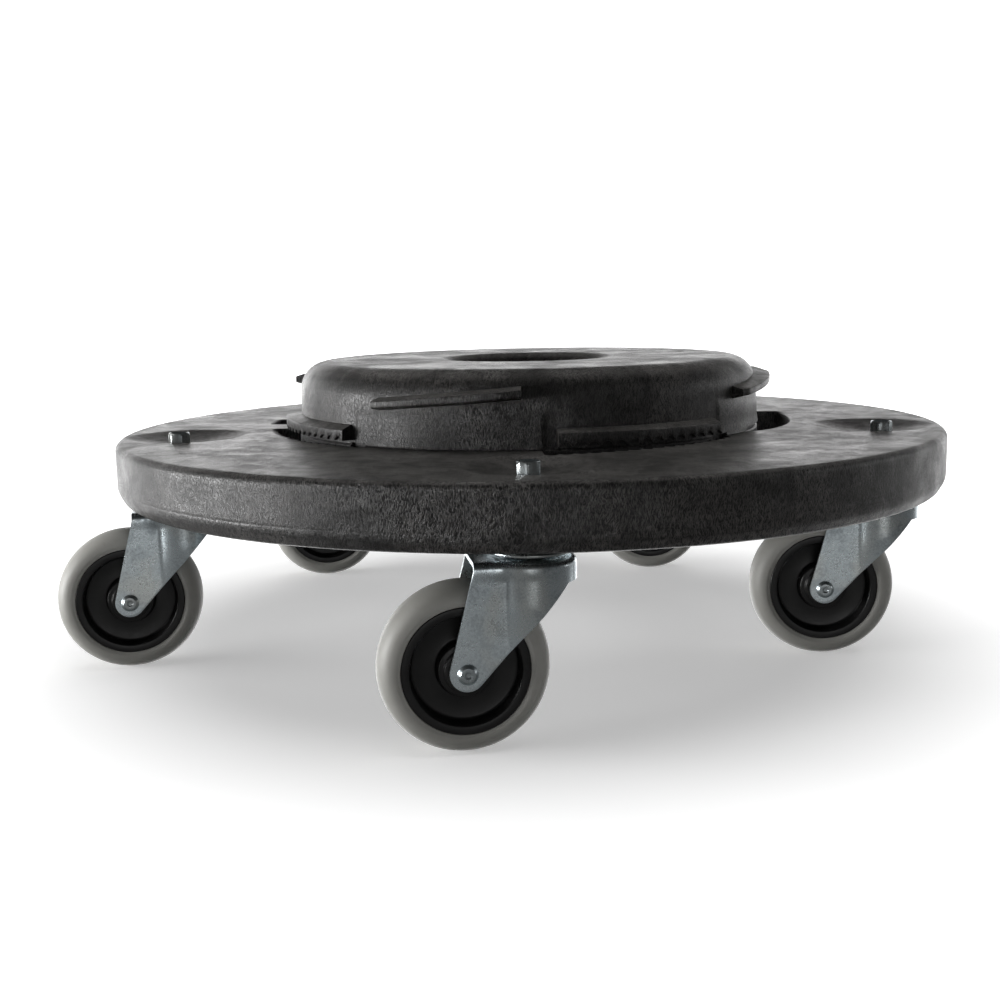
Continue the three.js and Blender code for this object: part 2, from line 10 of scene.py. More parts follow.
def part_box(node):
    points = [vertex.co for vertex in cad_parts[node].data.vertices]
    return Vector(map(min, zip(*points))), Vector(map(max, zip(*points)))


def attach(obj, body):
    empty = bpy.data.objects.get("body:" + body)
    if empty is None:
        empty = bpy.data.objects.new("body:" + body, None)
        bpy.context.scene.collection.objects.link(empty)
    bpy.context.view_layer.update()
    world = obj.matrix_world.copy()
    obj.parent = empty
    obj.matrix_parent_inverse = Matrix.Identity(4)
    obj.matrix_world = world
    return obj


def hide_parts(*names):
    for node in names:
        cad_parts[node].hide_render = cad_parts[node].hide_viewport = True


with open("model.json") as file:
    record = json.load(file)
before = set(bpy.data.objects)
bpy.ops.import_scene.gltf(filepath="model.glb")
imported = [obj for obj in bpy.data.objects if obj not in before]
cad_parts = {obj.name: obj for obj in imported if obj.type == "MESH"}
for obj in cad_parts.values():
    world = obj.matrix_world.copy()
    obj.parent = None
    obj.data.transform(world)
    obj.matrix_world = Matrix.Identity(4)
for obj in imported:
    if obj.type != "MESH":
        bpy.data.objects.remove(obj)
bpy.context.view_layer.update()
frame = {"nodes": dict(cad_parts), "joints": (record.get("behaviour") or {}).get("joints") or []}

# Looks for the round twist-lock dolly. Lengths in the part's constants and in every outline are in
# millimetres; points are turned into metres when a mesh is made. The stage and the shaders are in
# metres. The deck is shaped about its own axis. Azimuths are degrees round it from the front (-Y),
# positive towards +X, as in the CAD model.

MM = 0.001


def node_box(node):
    """Lowest and highest corner of a CAD node, in millimetres."""
    low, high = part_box(node)
    return low / MM, high / MM


# ---- Sizes taken from the frame ----

DECK_LOW, DECK_HIGH = node_box("deck")
DECK_AXIS_X = (DECK_LOW.x + DECK_HIGH.x) / 2
DECK_RADIUS = (DECK_HIGH.x - DECK_LOW.x) / 2
DECK_BOTTOM = DECK_LOW.z
HUB_TOP = DECK_HIGH.z
BOLT_LOW, BOLT_HIGH = node_box("bolt_front")
RACE_LOW, RACE_HIGH = node_box("top_race_front")
CROWN_TOP = node_box("fork_front")[1].z

JOINTS = {joint["name"]: joint for joint in frame["joints"]}
CASTERS = [name[len("swivel_"):-len("_turn")] for name in JOINTS if name.startswith("swivel_")]

# ---- Deck sizes ----

DECK_TOP = 122.2
PLATE = 7.5
TOP_ROUND = 4.0
# The rim's lower edge tucks in over its last few millimetres, and ends in a low chamfer.
RIM_TUCK = 3.2
RIM_SIDE_LOW = 97.5
RIM_SIDE_ROUND = 8.0
RIM_CHAMFER = 13.0
RIM_CHAMFER_TOP = 91.9
SKIRT_INNER_LOW = 216.5
SKIRT_INNER_HIGH = 224.5
PARTING_LINE = 100.5
PARTING_GROOVE = 0.1
PARTING_HALF_WIDTH = 0.4
DECK_SEGMENTS = 600
PROFILE_STEP = 2.4

HUB_RADIUS = 130.6
HUB_DRAFT = 0.8
HUB_WALL = 6.0
HUB_ROUND = 15.0
HOLE_RADIUS = 43.0
HOLE_ROUND = 8.0
COLLAR_DEPTH = 14.0

RIB_BOTTOM = 96.0
RIB_THICKNESS = 5.0
RIB_THINNING = 0.4
RIB_COUNT = 10
RIB_SKIRT_BITE = 4.0
HUB_RIB_COUNT = 6
HUB_RIB_BOTTOM = 140.0
BOSS_RADIUS = 25.0
BOSS_ROUND = 1.5
BOSS_DRAFT = 0.8
ROUND_SEGMENTS = 64

LUG_COUNT = 4
LUG_START = -34.8
LUG_SPAN = 33.5
LUG_NOSE = 0.06
LUG_NOSE_DRAW_IN = 1.6
LUG_TAPER_FROM = 0.86
LUG_REACH = 7.6
LUG_END_REACH = 5.0
LUG_THICKNESS = 3.8
LUG_LOW = 142.0
LUG_RISE = 6.0
LUG_WALL_TOP = 1.5
LUG_WALL_BOTTOM = 1.0

LEDGE_COUNT = 4
LEDGE_START = 6.0
LEDGE_SPAN = 40.3
LEDGE_START_REACH = 8.7
LEDGE_END_REACH = 6.2
LEDGE_BOTTOM = 124.9
LEDGE_TOP_AT_WALL = 132.7
LEDGE_TOP_AT_START = 131.4
LEDGE_TOP_AT_END = 130.4
ARCHES = 14
ARCH_RADIUS = 3.0
ARCH_DROP = 1.0
ARCH_DEPTH = 1.2
ARCH_LIP = 0.45

# The slot under a ledge starts a little before it. Its outer edge is scalloped, which leaves teeth.
SLOT_LEAD = 3.0
SLOT_SPAN = 48.3
SLOT_START_REACH = 16.9
SLOT_END_REACH = 3.8
SLOT_SCALLOPS = 17
SLOT_TOOTH_DEPTH = 3.0
SLOT_GAP = 1.0
POINTS_PER_SCALLOP = 12
SLOT_MOUTH = 1.3
MOUTH_DROP = 0.5

# How far a piece starts inside the wall it is joined to, and a rib inside the plate; and how far a
# cutter runs on past the face it leaves by.
WALL_BITE = 3.0
RIB_BITE = 1.0
CUT_PAST = 2.0
SWEEP_STEP = 0.5

# The round that a cutter leaves along the upper edge of what it cuts.
OPENING_LIP = 1.2
SLOT_LIP = 0.35
FINE_LIP = 0.1
LIP_STEPS = 5

PANEL_START = -42.0
PANEL_SPAN = 45.7
PANEL_TOP = 141.0
PANEL_EDGE = 0.5
PANEL_FADE = 3.0
PANEL_PROUD = 0.8
PANEL_FOOT = 0.8
PANEL_FOOT_LOW = 1.0
PANEL_FOOT_HIGH = 6.0

# The shallow bowl beside each bolt, with the flat pad in it that the bolt's head sits on.
BOWL_RADIUS = 33.0
BOWL_DEPTH = 4.5
BOWL_SOFTNESS = 0.15
BOWL_REACH = 36.0
BOWLS = {"front": (0, 179), "right": (78.5, 194), "back_right": (144, 179),
         "back_left": (-144, 179), "left": (-78.5, 194)}
PAD_RADIUS = 7.2
PAD_DEPTH = 1.6
PAD_FLARE = 0.6
BOLT_HOLE = 4.4

# The outer edge of the side opening through the plate, on the +X side. -X has the mirror image of
# its back end only.
OPENING_CURVE = [(112, -64), (119.5, -60.5), (128.5, -55), (141, -37), (148.5, -18), (152.5, -2),
                 (155.2, 17), (156, 32), (155.2, 44), (151.5, 48.5), (112, 48.5)]
RIGHT_OPENING_FRONT = -64.0
LEFT_OPENING_FRONT = 18.0

# ---- Caster sizes, in a frame whose origin is the swivel axis at floor level ----

TRAIL = 30.3
WHEEL_RADIUS = 38.1
SHEET = 2.0
FORK_HALF = 16.0
CROWN_RADIUS = 20.4
CROWN_LIP = 75.5
CROWN_LIP_START = 14.0
CROWN_BACK = -26.8
EAR_RADIUS = 7.7
FORK_BEND = 3.5
KINGPIN_HOLE = 6.6
AXLE_HOLE = 3.5
BALL_TRACK_RADIUS = 14.2
BALL_TRACK_WIDTH = 2.4
BALL_TRACK_DEPTH = 0.9
# The legs' flat panels end at the first height, and the crown's round wall is full from the second.
LEG_PANEL_TOP = 78.0
CROWN_WALL_FROM = 81.0
LEG_SOFTNESS = 0.45
CROWN_SOFTNESS = 2.4
# Where a panel meets the crown's front it steps out: by this share at the low height, in full at the
# high one.
LEG_STEP_LOW = 44.0
LEG_STEP_HIGH = 68.0
LEG_STEP_SHARE = 0.35
# The crown is a plain round in front of ARC_BLENDED; the sides blend into it from ARC_START on.
ARC_START = -4.0
ARC_BLENDED = 8.0
FORK_EDGE_ROUND = 0.32
WALL_ROWS = 34
BEND_ROWS = 6
PLATE_ROWS = 8

CORE_RADIUS = 28.25
CORE_FACE = 11.6
CORE_BORE = 5.0
CORE_BOSS = 9.4
CORE_STEP = 12.0
CORE_STEP_FACE = 9.6
CORE_WEB_FROM = 12.6
CORE_WEB_TO = 23.6
CORE_WEB_FACE = 4.0
CORE_RIM_FROM = 24.5
TYRE_SIDE = 11.3
TYRE_HALF = 11.85
TYRE_SHOULDER = 8.0
# The power of the superellipse that the tread and the shoulders follow; 2 is a plain ellipse.
TYRE_POWER = 2.25
TYRE_LIP = 0.25
AXLE_SEAT = 16.2
AXLE_HEAD = 4.55
AXLE_HEAD_TOP = 3.2
AXLE_HEAD_HEIGHT = 2.0
AXLE_SHANK = 3.15
AXLE_DIMPLE = 1.7
AXLE_DIMPLE_FLOOR = 0.9
AXLE_DIMPLE_DEPTH = 0.55
RACE_HOLE = 4.6
RACE_SHEET = 1.5
RACE_INNER = 17.0
RACE_WALL = 17.6
RACE_LIP = 1.1
BOLT_FLATS = 10.3
BOLT_CORNER_LIMIT = 5.8
BOLT_RIM = 5.35
BOLT_TURN = {"front": 30}
BOLT_HEAD_HEIGHT = 6.0
BOLT_SHANK = 3.9
BOLT_CHAMFER = 0.6

# ---- Shaders and stage, in metres ----

HAIR_WIDTH = 0.0004
HAIR_LENGTH = 0.003125

FLOOR_SIZE = 30.0
FLOOR_GLOW = 0.36
FLOOR_WHITE_FROM = 0.17
FLOOR_WHITE_TO = 0.6
BACKGROUND_GLOW = 1.1
CEILING_LIGHT = 0.04

CAMERA_PLACE = (DECK_AXIS_X * MM + 0.0002, -0.7299, 0.1974)
CAMERA_YAW = -0.0238
CAMERA_PITCH = 0.1637
CAMERA_ROLL = -0.0197
CAMERA_LENS = 45.0
CAMERA_SENSOR = 36.0
CAMERA_FAR = 100.0


# ---- Outlines and meshes ----

def rounded(corners, steps=5):
    """A closed outline from (x, y, radius) corners, each corner turned into an arc."""
    outline = []
    count = len(corners)
    for i, (x, y, radius) in enumerate(corners):
        here = np.array((x, y), float)
        if radius == 0:
            outline.append(here)
            continue
        before = np.array(corners[i - 1][:2], float) - here
        after = np.array(corners[(i + 1) % count][:2], float) - here
        before /= np.linalg.norm(before)
        after /= np.linalg.norm(after)
        half = math.acos(np.clip(before @ after, -1, 1)) / 2
        middle = before + after
        middle /= np.linalg.norm(middle)
        centre = here + middle * radius / math.sin(half)
        first = here + before * radius / math.tan(half) - centre
        last = here + after * radius / math.tan(half) - centre
        start = math.atan2(first[1], first[0])
        turn = math.atan2(first[0] * last[1] - first[1] * last[0], first @ last)
        for k in range(steps + 1):
            angle = start + turn * k / steps
            outline.append(centre + radius * np.array((math.cos(angle), math.sin(angle))))
    return np.array(outline)


def resampled(outline, step):
    """The closed outline with extra points, so that no side is longer than step."""
    points = []
    for i, here in enumerate(outline):
        following = outline[(i + 1) % len(outline)]
        parts = max(1, math.ceil(np.linalg.norm(following - here) / step))
        for k in range(parts):
            points.append(here + (following - here) * k / parts)
    return np.array(points)


def grid_faces(rows, columns, close_rows=False, close_columns=False):
    """Quads over points stored row by row."""
    faces = []
    for i in range(rows if close_rows else rows - 1):
        below = (i + 1) % rows
        for j in range(columns if close_columns else columns - 1):
            beside = (j + 1) % columns
            faces.append((i * columns + j, i * columns + beside,
                          below * columns + beside, below * columns + j))
    return faces


def capped_faces(rows, columns):
    """Faces of a solid whose rows are closed outlines, with a cap at each end."""
    faces = grid_faces(rows, columns, False, True)
    faces.append(tuple(range(columns)))
    faces.append(tuple(range(rows * columns - 1, (rows - 1) * columns - 1, -1)))
    return faces


def revolved(profile, segments):
    """Points and faces of a closed (radius, z) profile turned about Z."""
    angles = np.arange(segments) * 2 * math.pi / segments
    radius = profile[:, 0]
    x = np.outer(np.sin(angles), radius)
    y = np.outer(-np.cos(angles), radius)
    z = np.tile(profile[:, 1], (segments, 1))
    points = np.stack((x, y, z), -1).reshape(-1, 3)
    return points, grid_faces(segments, len(profile), True, True)


def laid_over(points):
    """Turns points made about Z so that they spin about Y."""
    x, y, z = points.T
    return np.stack((x, -z, y), -1)


def linked(name, data):
    """A new object in the scene."""
    piece = bpy.data.objects.new(name, data)
    bpy.context.scene.collection.objects.link(piece)
    return piece


def new_object(name, points, faces, sharp=35):
    """A mesh object from points in millimetres, with faces out and smooth shading."""
    mesh = bpy.data.meshes.new(name)
    mesh.from_pydata((np.asarray(points) * MM).tolist(), [], faces)
    work = bmesh.new()
    work.from_mesh(mesh)
    bmesh.ops.remove_doubles(work, verts=work.verts, dist=1e-6)
    bmesh.ops.dissolve_degenerate(work, edges=work.edges, dist=1e-7)
    bmesh.ops.recalc_face_normals(work, faces=work.faces)
    work.to_mesh(mesh)
    work.free()
    piece = linked(name, mesh)
    shade(piece, sharp)
    return piece


def shade(piece, sharp):
    """Smooth shading, with edges steeper than sharp (degrees) kept crisp."""
    mesh = piece.data
    mesh.polygons.foreach_set("use_smooth", [True] * len(mesh.polygons))
    mesh.set_sharp_from_angle(angle=math.radians(sharp))


def apply_modifiers(piece):
    """Bakes the piece's modifiers into its mesh."""
    graph = bpy.context.evaluated_depsgraph_get()
    mesh = bpy.data.meshes.new_from_object(piece.evaluated_get(graph))
    old = piece.data
    piece.modifiers.clear()
    piece.data = mesh
    bpy.data.meshes.remove(old)
    mesh.name = piece.name


def combine(piece, tool, operation):
    """Joins the tool to the piece or cuts it away, and deletes the tool."""
    modifier = piece.modifiers.new("combine", "BOOLEAN")
    modifier.operation = operation
    modifier.solver = "MANIFOLD"
    modifier.object = tool
    apply_modifiers(piece)
    bpy.data.objects.remove(tool)


def joined(name, parts):
    """One object from (points, faces) parts that don't touch each other."""
    points = []
    faces = []
    for part_points, part_faces in parts:
        offset = len(points)
        points.extend(np.asarray(part_points).tolist())
        faces.extend([tuple(i + offset for i in face) for face in part_faces])
    return new_object(name, points, faces)


def bevel(piece, width, angle):
    """Rounds the edges that are steeper than angle (degrees)."""
    modifier = piece.modifiers.new("bevel", "BEVEL")
    modifier.width = width * MM
    modifier.segments = 2
    modifier.limit_method = "ANGLE"
    modifier.angle_limit = math.radians(angle)
    modifier.use_clamp_overlap = True
    apply_modifiers(piece)


def smoothstep(low, high, value):
    t = np.clip((value - low) / (high - low), 0, 1)
    return t * t * (3 - 2 * t)


# ---- Deck ----

def plan_angle(azimuth):
    return math.radians(azimuth - 90)


def plan_point(angle, radius):
    return radius * math.cos(angle), radius * math.sin(angle)


def deck_profile():
    """The deck's section, (radius, z): under the hub and the plate, up the rim and over the top."""
    plate_under = DECK_TOP - PLATE
    hub_inner = HUB_RADIUS - HUB_WALL
    collar_low = HUB_TOP - COLLAR_DEPTH
    outline = rounded([
        (HOLE_RADIUS, collar_low, 1),
        (HOLE_RADIUS + HUB_WALL, collar_low, 1),
        (HOLE_RADIUS + HUB_WALL, HUB_TOP - HUB_WALL, 2),
        (hub_inner, HUB_TOP - HUB_WALL, 9),
        (hub_inner, RIB_BOTTOM, 1),
        (HUB_RADIUS, RIB_BOTTOM, 1),
        (HUB_RADIUS, plate_under, 1.5),
        (SKIRT_INNER_HIGH, plate_under, 2),
        (SKIRT_INNER_LOW, DECK_BOTTOM, 1.5),
        (DECK_RADIUS - RIM_CHAMFER, DECK_BOTTOM, 0),
        (DECK_RADIUS - RIM_TUCK, RIM_CHAMFER_TOP, 2.5),
        (DECK_RADIUS, RIM_SIDE_LOW, RIM_SIDE_ROUND),
        (DECK_RADIUS, DECK_TOP, TOP_ROUND),
        (HUB_RADIUS, DECK_TOP, 1.2),
        (HUB_RADIUS - HUB_DRAFT, HUB_TOP, HUB_ROUND),
        (HOLE_RADIUS, HUB_TOP, HOLE_ROUND),
    ], steps=9)
    return with_parting_groove(resampled(outline, PROFILE_STEP))


def with_parting_groove(outline):
    """Adds the fine groove that the two halves of the mould leave round the rim."""
    half = PARTING_HALF_WIDTH
    points = []
    for i, here in enumerate(outline):
        following = outline[(i + 1) % len(outline)]
        points.append(here)
        on_rim = here[0] > DECK_RADIUS - RIM_TUCK
        if on_rim and here[1] <= PARTING_LINE < following[1]:
            share = (PARTING_LINE - here[1]) / (following[1] - here[1])
            middle = here + (following - here) * share
            points.append(middle - (0, half))
            points.append(middle - (PARTING_GROOVE, 0))
            points.append(middle + (0, half))
    return np.array(points)


def caster_plan(name):
    """The place of a caster's swivel axis in plan, in millimetres from the deck's axis."""
    x, y, _ = JOINTS[f"swivel_{name}_turn"]["pos_m"]
    return np.array((x, y)) / MM - (DECK_AXIS_X, 0)


def shape_deck_surface(points):
    """Presses the bowls and the hub's wall panels into the turned deck."""
    radius = np.hypot(points[:, 0], points[:, 1])
    height = points[:, 2]
    by_wall = HUB_RADIUS + WALL_BITE
    on_top = (height > DECK_TOP - TOP_ROUND / 2) & (height < DECK_TOP + 0.1) & (radius > by_wall)
    for azimuth, circle in BOWLS.values():
        x, y = plan_point(plan_angle(azimuth), circle)
        distance = np.hypot(points[:, 0] - x, points[:, 1] - y)
        bowl = BOWL_DEPTH * (1 - (distance / BOWL_RADIUS) ** 2)
        soft = (bowl + np.sqrt(bowl ** 2 + BOWL_SOFTNESS ** 2)) / 2
        floor = DECK_TOP - np.where(distance < BOWL_REACH, soft, 0)
        points[:, 2] = np.where(on_top, np.minimum(points[:, 2], floor), points[:, 2])
    azimuth = np.degrees(np.arctan2(points[:, 0], -points[:, 1]))
    on_wall = (radius > HUB_RADIUS - HUB_WALL / 2) & (radius < by_wall)
    on_wall &= (height > DECK_TOP + 0.3) & (height < PANEL_TOP + 4)
    for i in range(LUG_COUNT):
        along = (azimuth - PANEL_START - 360 * i / LUG_COUNT) % 360
        inside = smoothstep(0, PANEL_EDGE, along)
        inside = inside * (1 - smoothstep(PANEL_SPAN - PANEL_EDGE, PANEL_SPAN, along))
        low = 1 - smoothstep(PANEL_TOP - PANEL_FADE, PANEL_TOP, height)
        above_foot = smoothstep(DECK_TOP + PANEL_FOOT_LOW, DECK_TOP + PANEL_FOOT_HIGH, height)
        foot = 1 + PANEL_FOOT * (1 - above_foot)
        push = 1 + np.where(on_wall, PANEL_PROUD * inside * low * foot, 0) / np.maximum(radius, 1)
        points[:, 0] *= push
        points[:, 1] *= push
    return points


def swept_ring(start, span, section):
    """A solid swept round the hub. section(share) gives its closed (radius, z) outline."""
    rows = math.ceil(span / SWEEP_STEP) + 1
    points = []
    for i in range(rows):
        share = i / (rows - 1)
        angle = plan_angle(start + span * share)
        outline = section(share)
        points.extend((*plan_point(angle, radius), z) for radius, z in outline)
    return np.array(points), capped_faces(rows, len(outline))


def lug_part(turn):
    """One helical locking lug, thicker at the wall, with rounded edges and a nose."""
    def section(share):
        taper = smoothstep(LUG_TAPER_FROM, 1, share)
        nose = smoothstep(0, LUG_NOSE, share)
        reach = LUG_REACH + (LUG_END_REACH - LUG_REACH) * taper - LUG_NOSE_DRAW_IN * (1 - nose)
        low = LUG_LOW + LUG_RISE * share
        top = low + LUG_THICKNESS
        outer = HUB_RADIUS + reach
        return rounded([
            (HUB_RADIUS - WALL_BITE, low - LUG_WALL_BOTTOM, 0),
            (HUB_RADIUS, low - LUG_WALL_BOTTOM, 0),
            (outer, low + 0.3, 0.9),
            (outer, top, 0.7),
            (HUB_RADIUS, top + LUG_WALL_TOP, 0),
            (HUB_RADIUS - WALL_BITE, top + LUG_WALL_TOP, 0),
        ], steps=3)
    return swept_ring(LUG_START + turn, LUG_SPAN, section)


def ledge_reach(share):
    return LEDGE_START_REACH + (LEDGE_END_REACH - LEDGE_START_REACH) * share


def ledge_part(turn):
    """One ledge at the hub's foot: a sloping top and an upright face that draws in."""
    def section(share):
        inner = HUB_RADIUS - WALL_BITE
        outer = HUB_RADIUS + ledge_reach(share)
        edge = LEDGE_TOP_AT_START + (LEDGE_TOP_AT_END - LEDGE_TOP_AT_START) * share
        return rounded([
            (inner, LEDGE_BOTTOM, 0),
            (outer, LEDGE_BOTTOM, 0.4),
            (outer, edge, 1.0 - 0.5 * share),
            (HUB_RADIUS + 0.4, LEDGE_TOP_AT_WALL, 0.5),
            (inner, LEDGE_TOP_AT_WALL, 0),
        ], steps=3)
    return swept_ring(LEDGE_START + turn, LEDGE_SPAN, section)


def arch_part(turn, share):
    """A round cutter lying along a radius, with a flared mouth that softens the arch's rim."""
    outer = HUB_RADIUS + ledge_reach(share)
    stations = [
        (outer - ARCH_DEPTH, ARCH_RADIUS),
        (outer - ARCH_LIP, ARCH_RADIUS),
        (outer - ARCH_LIP * 0.3, ARCH_RADIUS + ARCH_LIP * 0.3),
        (outer + 0.05, ARCH_RADIUS + ARCH_LIP),
        (outer + 2, ARCH_RADIUS + ARCH_LIP),
    ]
    segments = 20
    angle = plan_angle(LEDGE_START + turn + LEDGE_SPAN * share)
    out = np.array((math.cos(angle), math.sin(angle), 0))
    side = np.array((-math.sin(angle), math.cos(angle), 0))
    up = np.array((0, 0, 1))
    points = []
    for reach, radius in stations:
        for k in range(segments):
            around = 2 * math.pi * k / segments
            across = math.cos(around) * side + math.sin(around) * up
            points.append(out * reach + (LEDGE_BOTTOM - ARCH_DROP) * up + radius * across)
    return np.array(points), capped_faces(len(stations), segments)


def flared_prism(outline, bottom, top, lip):
    """A cutter with the plan outline, widening by lip at the top so the edge it cuts is round."""
    outline = np.asarray(outline, float)
    before = np.roll(outline, 1, axis=0)
    after = np.roll(outline, -1, axis=0)
    along = after - before
    along /= np.linalg.norm(along, axis=1)[:, None]
    outward = np.stack((along[:, 1], -along[:, 0]), -1)
    levels = [(bottom, 0.0)]
    for k in range(LIP_STEPS + 1):
        angle = math.pi / 2 * k / LIP_STEPS
        levels.append((top - lip + lip * math.sin(angle), lip * (1 - math.cos(angle))))
    levels.append((top + CUT_PAST, lip))
    points = []
    for height, growth in levels:
        for place, normal in zip(outline, outward):
            x, y = place + growth * normal
            points.append((x, y, height))
    return np.array(points), capped_faces(len(levels), len(outline))


def smooth_closed(corners):
    """Rounds a closed outline by cutting its corners twice over."""
    outline = np.array(corners, float)
    for _ in range(2):
        after = np.roll(outline, -1, axis=0)
        near = 0.75 * outline + 0.25 * after
        far = 0.25 * outline + 0.75 * after
        outline = np.stack((near, far), 1).reshape(-1, 2)
    return outline


def opening_outline(side, front):
    """A D-shaped side opening behind the given y, whose inner edge follows the hub wall."""
    inner = HUB_RADIUS + SLOT_GAP
    outer = [(x, y) for x, y in smooth_closed(OPENING_CURVE)
             if y >= front and math.hypot(x, y) > inner]
    first = math.asin(outer[-1][1] / inner)
    last = math.asin(max(front, outer[0][1]) / inner)
    arc = [plan_point(angle, inner) for angle in np.linspace(first, last, 30)]
    outline = np.array(outer + arc)
    if side < 0:
        outline = outline[::-1] * (-1, 1)
    return outline


def slot_outline(turn):
    """The slot under a ledge, in plan, with its scalloped outer edge."""
    steps = SLOT_SCALLOPS * POINTS_PER_SCALLOP
    far = []
    near = []
    for i in range(steps + 1):
        share = i / steps
        angle = plan_angle(LEDGE_START - SLOT_LEAD + turn + SLOT_SPAN * share)
        scallop = abs(math.sin(math.pi * i / POINTS_PER_SCALLOP)) - 0.5
        reach = SLOT_START_REACH + (SLOT_END_REACH - SLOT_START_REACH) * share
        far.append(plan_point(angle, HUB_RADIUS + reach + SLOT_TOOTH_DEPTH * scallop))
        if i % 3 == 0:
            near.append(plan_point(angle, HUB_RADIUS + SLOT_GAP))
    return far + near[::-1]


def slot_mouth_outline(turn):
    """The far end of a slot, where it runs a little way in under the hub wall."""
    inner = HUB_RADIUS - SLOT_MOUTH
    outer = HUB_RADIUS + SLOT_GAP + SLOT_MOUTH
    first = LEDGE_START + LEDGE_SPAN + turn
    last = LEDGE_START - SLOT_LEAD + SLOT_SPAN + turn
    angles = [plan_angle(azimuth) for azimuth in np.linspace(first, last, 8)]
    return [plan_point(a, outer) for a in angles] + [plan_point(a, inner) for a in angles[::-1]]


def disc_outline(x, y, radius, segments=32):
    angles = np.arange(segments) * 2 * math.pi / segments
    return [(x + radius * math.cos(a), y + radius * math.sin(a)) for a in angles]


def rib_part(azimuth, inner, outer, bottom, top):
    """A radial rib that thins a little towards its lower edge, as a moulded rib does."""
    angle = plan_angle(azimuth)
    out = np.array((math.cos(angle), math.sin(angle)))
    side = np.array((-math.sin(angle), math.cos(angle)))
    points = []
    for height, half in ((bottom, RIB_THICKNESS / 2 - RIB_THINNING), (top, RIB_THICKNESS / 2)):
        for reach, sign in ((inner, -1), (outer, -1), (outer, 1), (inner, 1)):
            x, y = out * reach + side * sign * half
            points.append((x, y, height))
    return points, capped_faces(2, 4)


def turned_at(name, profile, place):
    """A piece turned about the upright line through a place in plan."""
    points, faces = revolved(profile, ROUND_SEGMENTS)
    return new_object(name, points + (*place, 0), faces)


def add_underside(deck):
    """Ribs under the plate and the hub, and a round boss over each caster."""
    plate_inside = DECK_TOP - PLATE + RIB_BITE
    for i in range(RIB_COUNT):
        part = rib_part(360 * i / RIB_COUNT, HUB_RADIUS - RIB_BITE, SKIRT_INNER_LOW + RIB_SKIRT_BITE,
                        RIB_BOTTOM, plate_inside)
        combine(deck, new_object("rib", *part), "UNION")
    for i in range(HUB_RIB_COUNT):
        part = rib_part(360 * (i + 0.5) / HUB_RIB_COUNT, HOLE_RADIUS + HUB_WALL - RIB_BITE,
                        HUB_RADIUS - HUB_WALL + RIB_BITE, HUB_RIB_BOTTOM, HUB_TOP - HUB_WALL + RIB_BITE)
        combine(deck, new_object("hub_rib", *part), "UNION")
    profile = rounded([(0, DECK_BOTTOM, 0), (BOSS_RADIUS, DECK_BOTTOM, BOSS_ROUND),
                       (BOSS_RADIUS + BOSS_DRAFT, plate_inside, 0), (0, plate_inside, 0)])
    for name in CASTERS:
        combine(deck, turned_at("boss", profile, caster_plan(name)), "UNION")


def add_bolt_seat(deck, place):
    """The flat pad under a bolt's head, let into the side of the bowl, with its hole."""
    pad_top = DECK_TOP - PAD_DEPTH
    above = DECK_TOP + CUT_PAST
    pad = rounded([(0, DECK_TOP - PLATE, 0), (PAD_RADIUS, DECK_TOP - PLATE, 0),
                   (PAD_RADIUS, pad_top, 0.4), (0, pad_top, 0)], steps=3)
    room = rounded([(0, pad_top, 0), (PAD_RADIUS, pad_top, 0.3),
                    (PAD_RADIUS + PAD_FLARE, above, 0), (0, above, 0)], steps=3)
    combine(deck, turned_at("pad", pad, place), "UNION")
    combine(deck, turned_at("room", room, place), "DIFFERENCE")
    hole = flared_prism(disc_outline(*place, BOLT_HOLE), DECK_BOTTOM - CUT_PAST, pad_top, FINE_LIP)
    combine(deck, new_object("bolt_hole", *hole), "DIFFERENCE")


def cut_openings(deck, turns):
    """The two side openings, the slots under the ledges, and the mouths at the slots' ends."""
    low = RIB_BOTTOM - CUT_PAST
    openings = [flared_prism(opening_outline(side, front), low, DECK_TOP, OPENING_LIP)
                for side, front in ((1, RIGHT_OPENING_FRONT), (-1, LEFT_OPENING_FRONT))]
    slots = [flared_prism(slot_outline(turn), low, DECK_TOP, SLOT_LIP) for turn in turns]
    mouths = [flared_prism(slot_mouth_outline(turn), low, DECK_TOP - MOUTH_DROP, FINE_LIP)
              for turn in turns]
    for name, cutters in (("openings", openings), ("slots", slots), ("mouths", mouths)):
        combine(deck, joined(name, cutters), "DIFFERENCE")


def build_ledges(turns):
    """The four ledges with their rows of arches, open over the side opening."""
    ledges = joined("ledges", [ledge_part(turn) for turn in turns])
    arches = [arch_part(turn, (k + 0.5) / ARCHES) for turn in turns for k in range(ARCHES)]
    combine(ledges, joined("arches", arches), "DIFFERENCE")
    above_opening = flared_prism(smooth_closed(OPENING_CURVE), DECK_TOP - 1, HUB_TOP, FINE_LIP)
    combine(ledges, new_object("above_opening", *above_opening), "DIFFERENCE")
    return ledges


def build_deck():
    """The turned disc and hub, with all that is pressed into them, cut out or joined on."""
    points, faces = revolved(deck_profile(), DECK_SEGMENTS)
    deck = new_object("deck_fine", shape_deck_surface(points), faces)
    add_underside(deck)
    turns = [360 * i / LEDGE_COUNT for i in range(LEDGE_COUNT)]
    cut_openings(deck, turns)
    combine(deck, build_ledges(turns), "UNION")
    combine(deck, joined("lugs", [lug_part(turn) for turn in turns]), "UNION")
    for name in CASTERS:
        add_bolt_seat(deck, caster_plan(name))
    shade(deck, 32)
    deck.location.x = DECK_AXIS_X * MM
    return deck


# ---- Fork ----

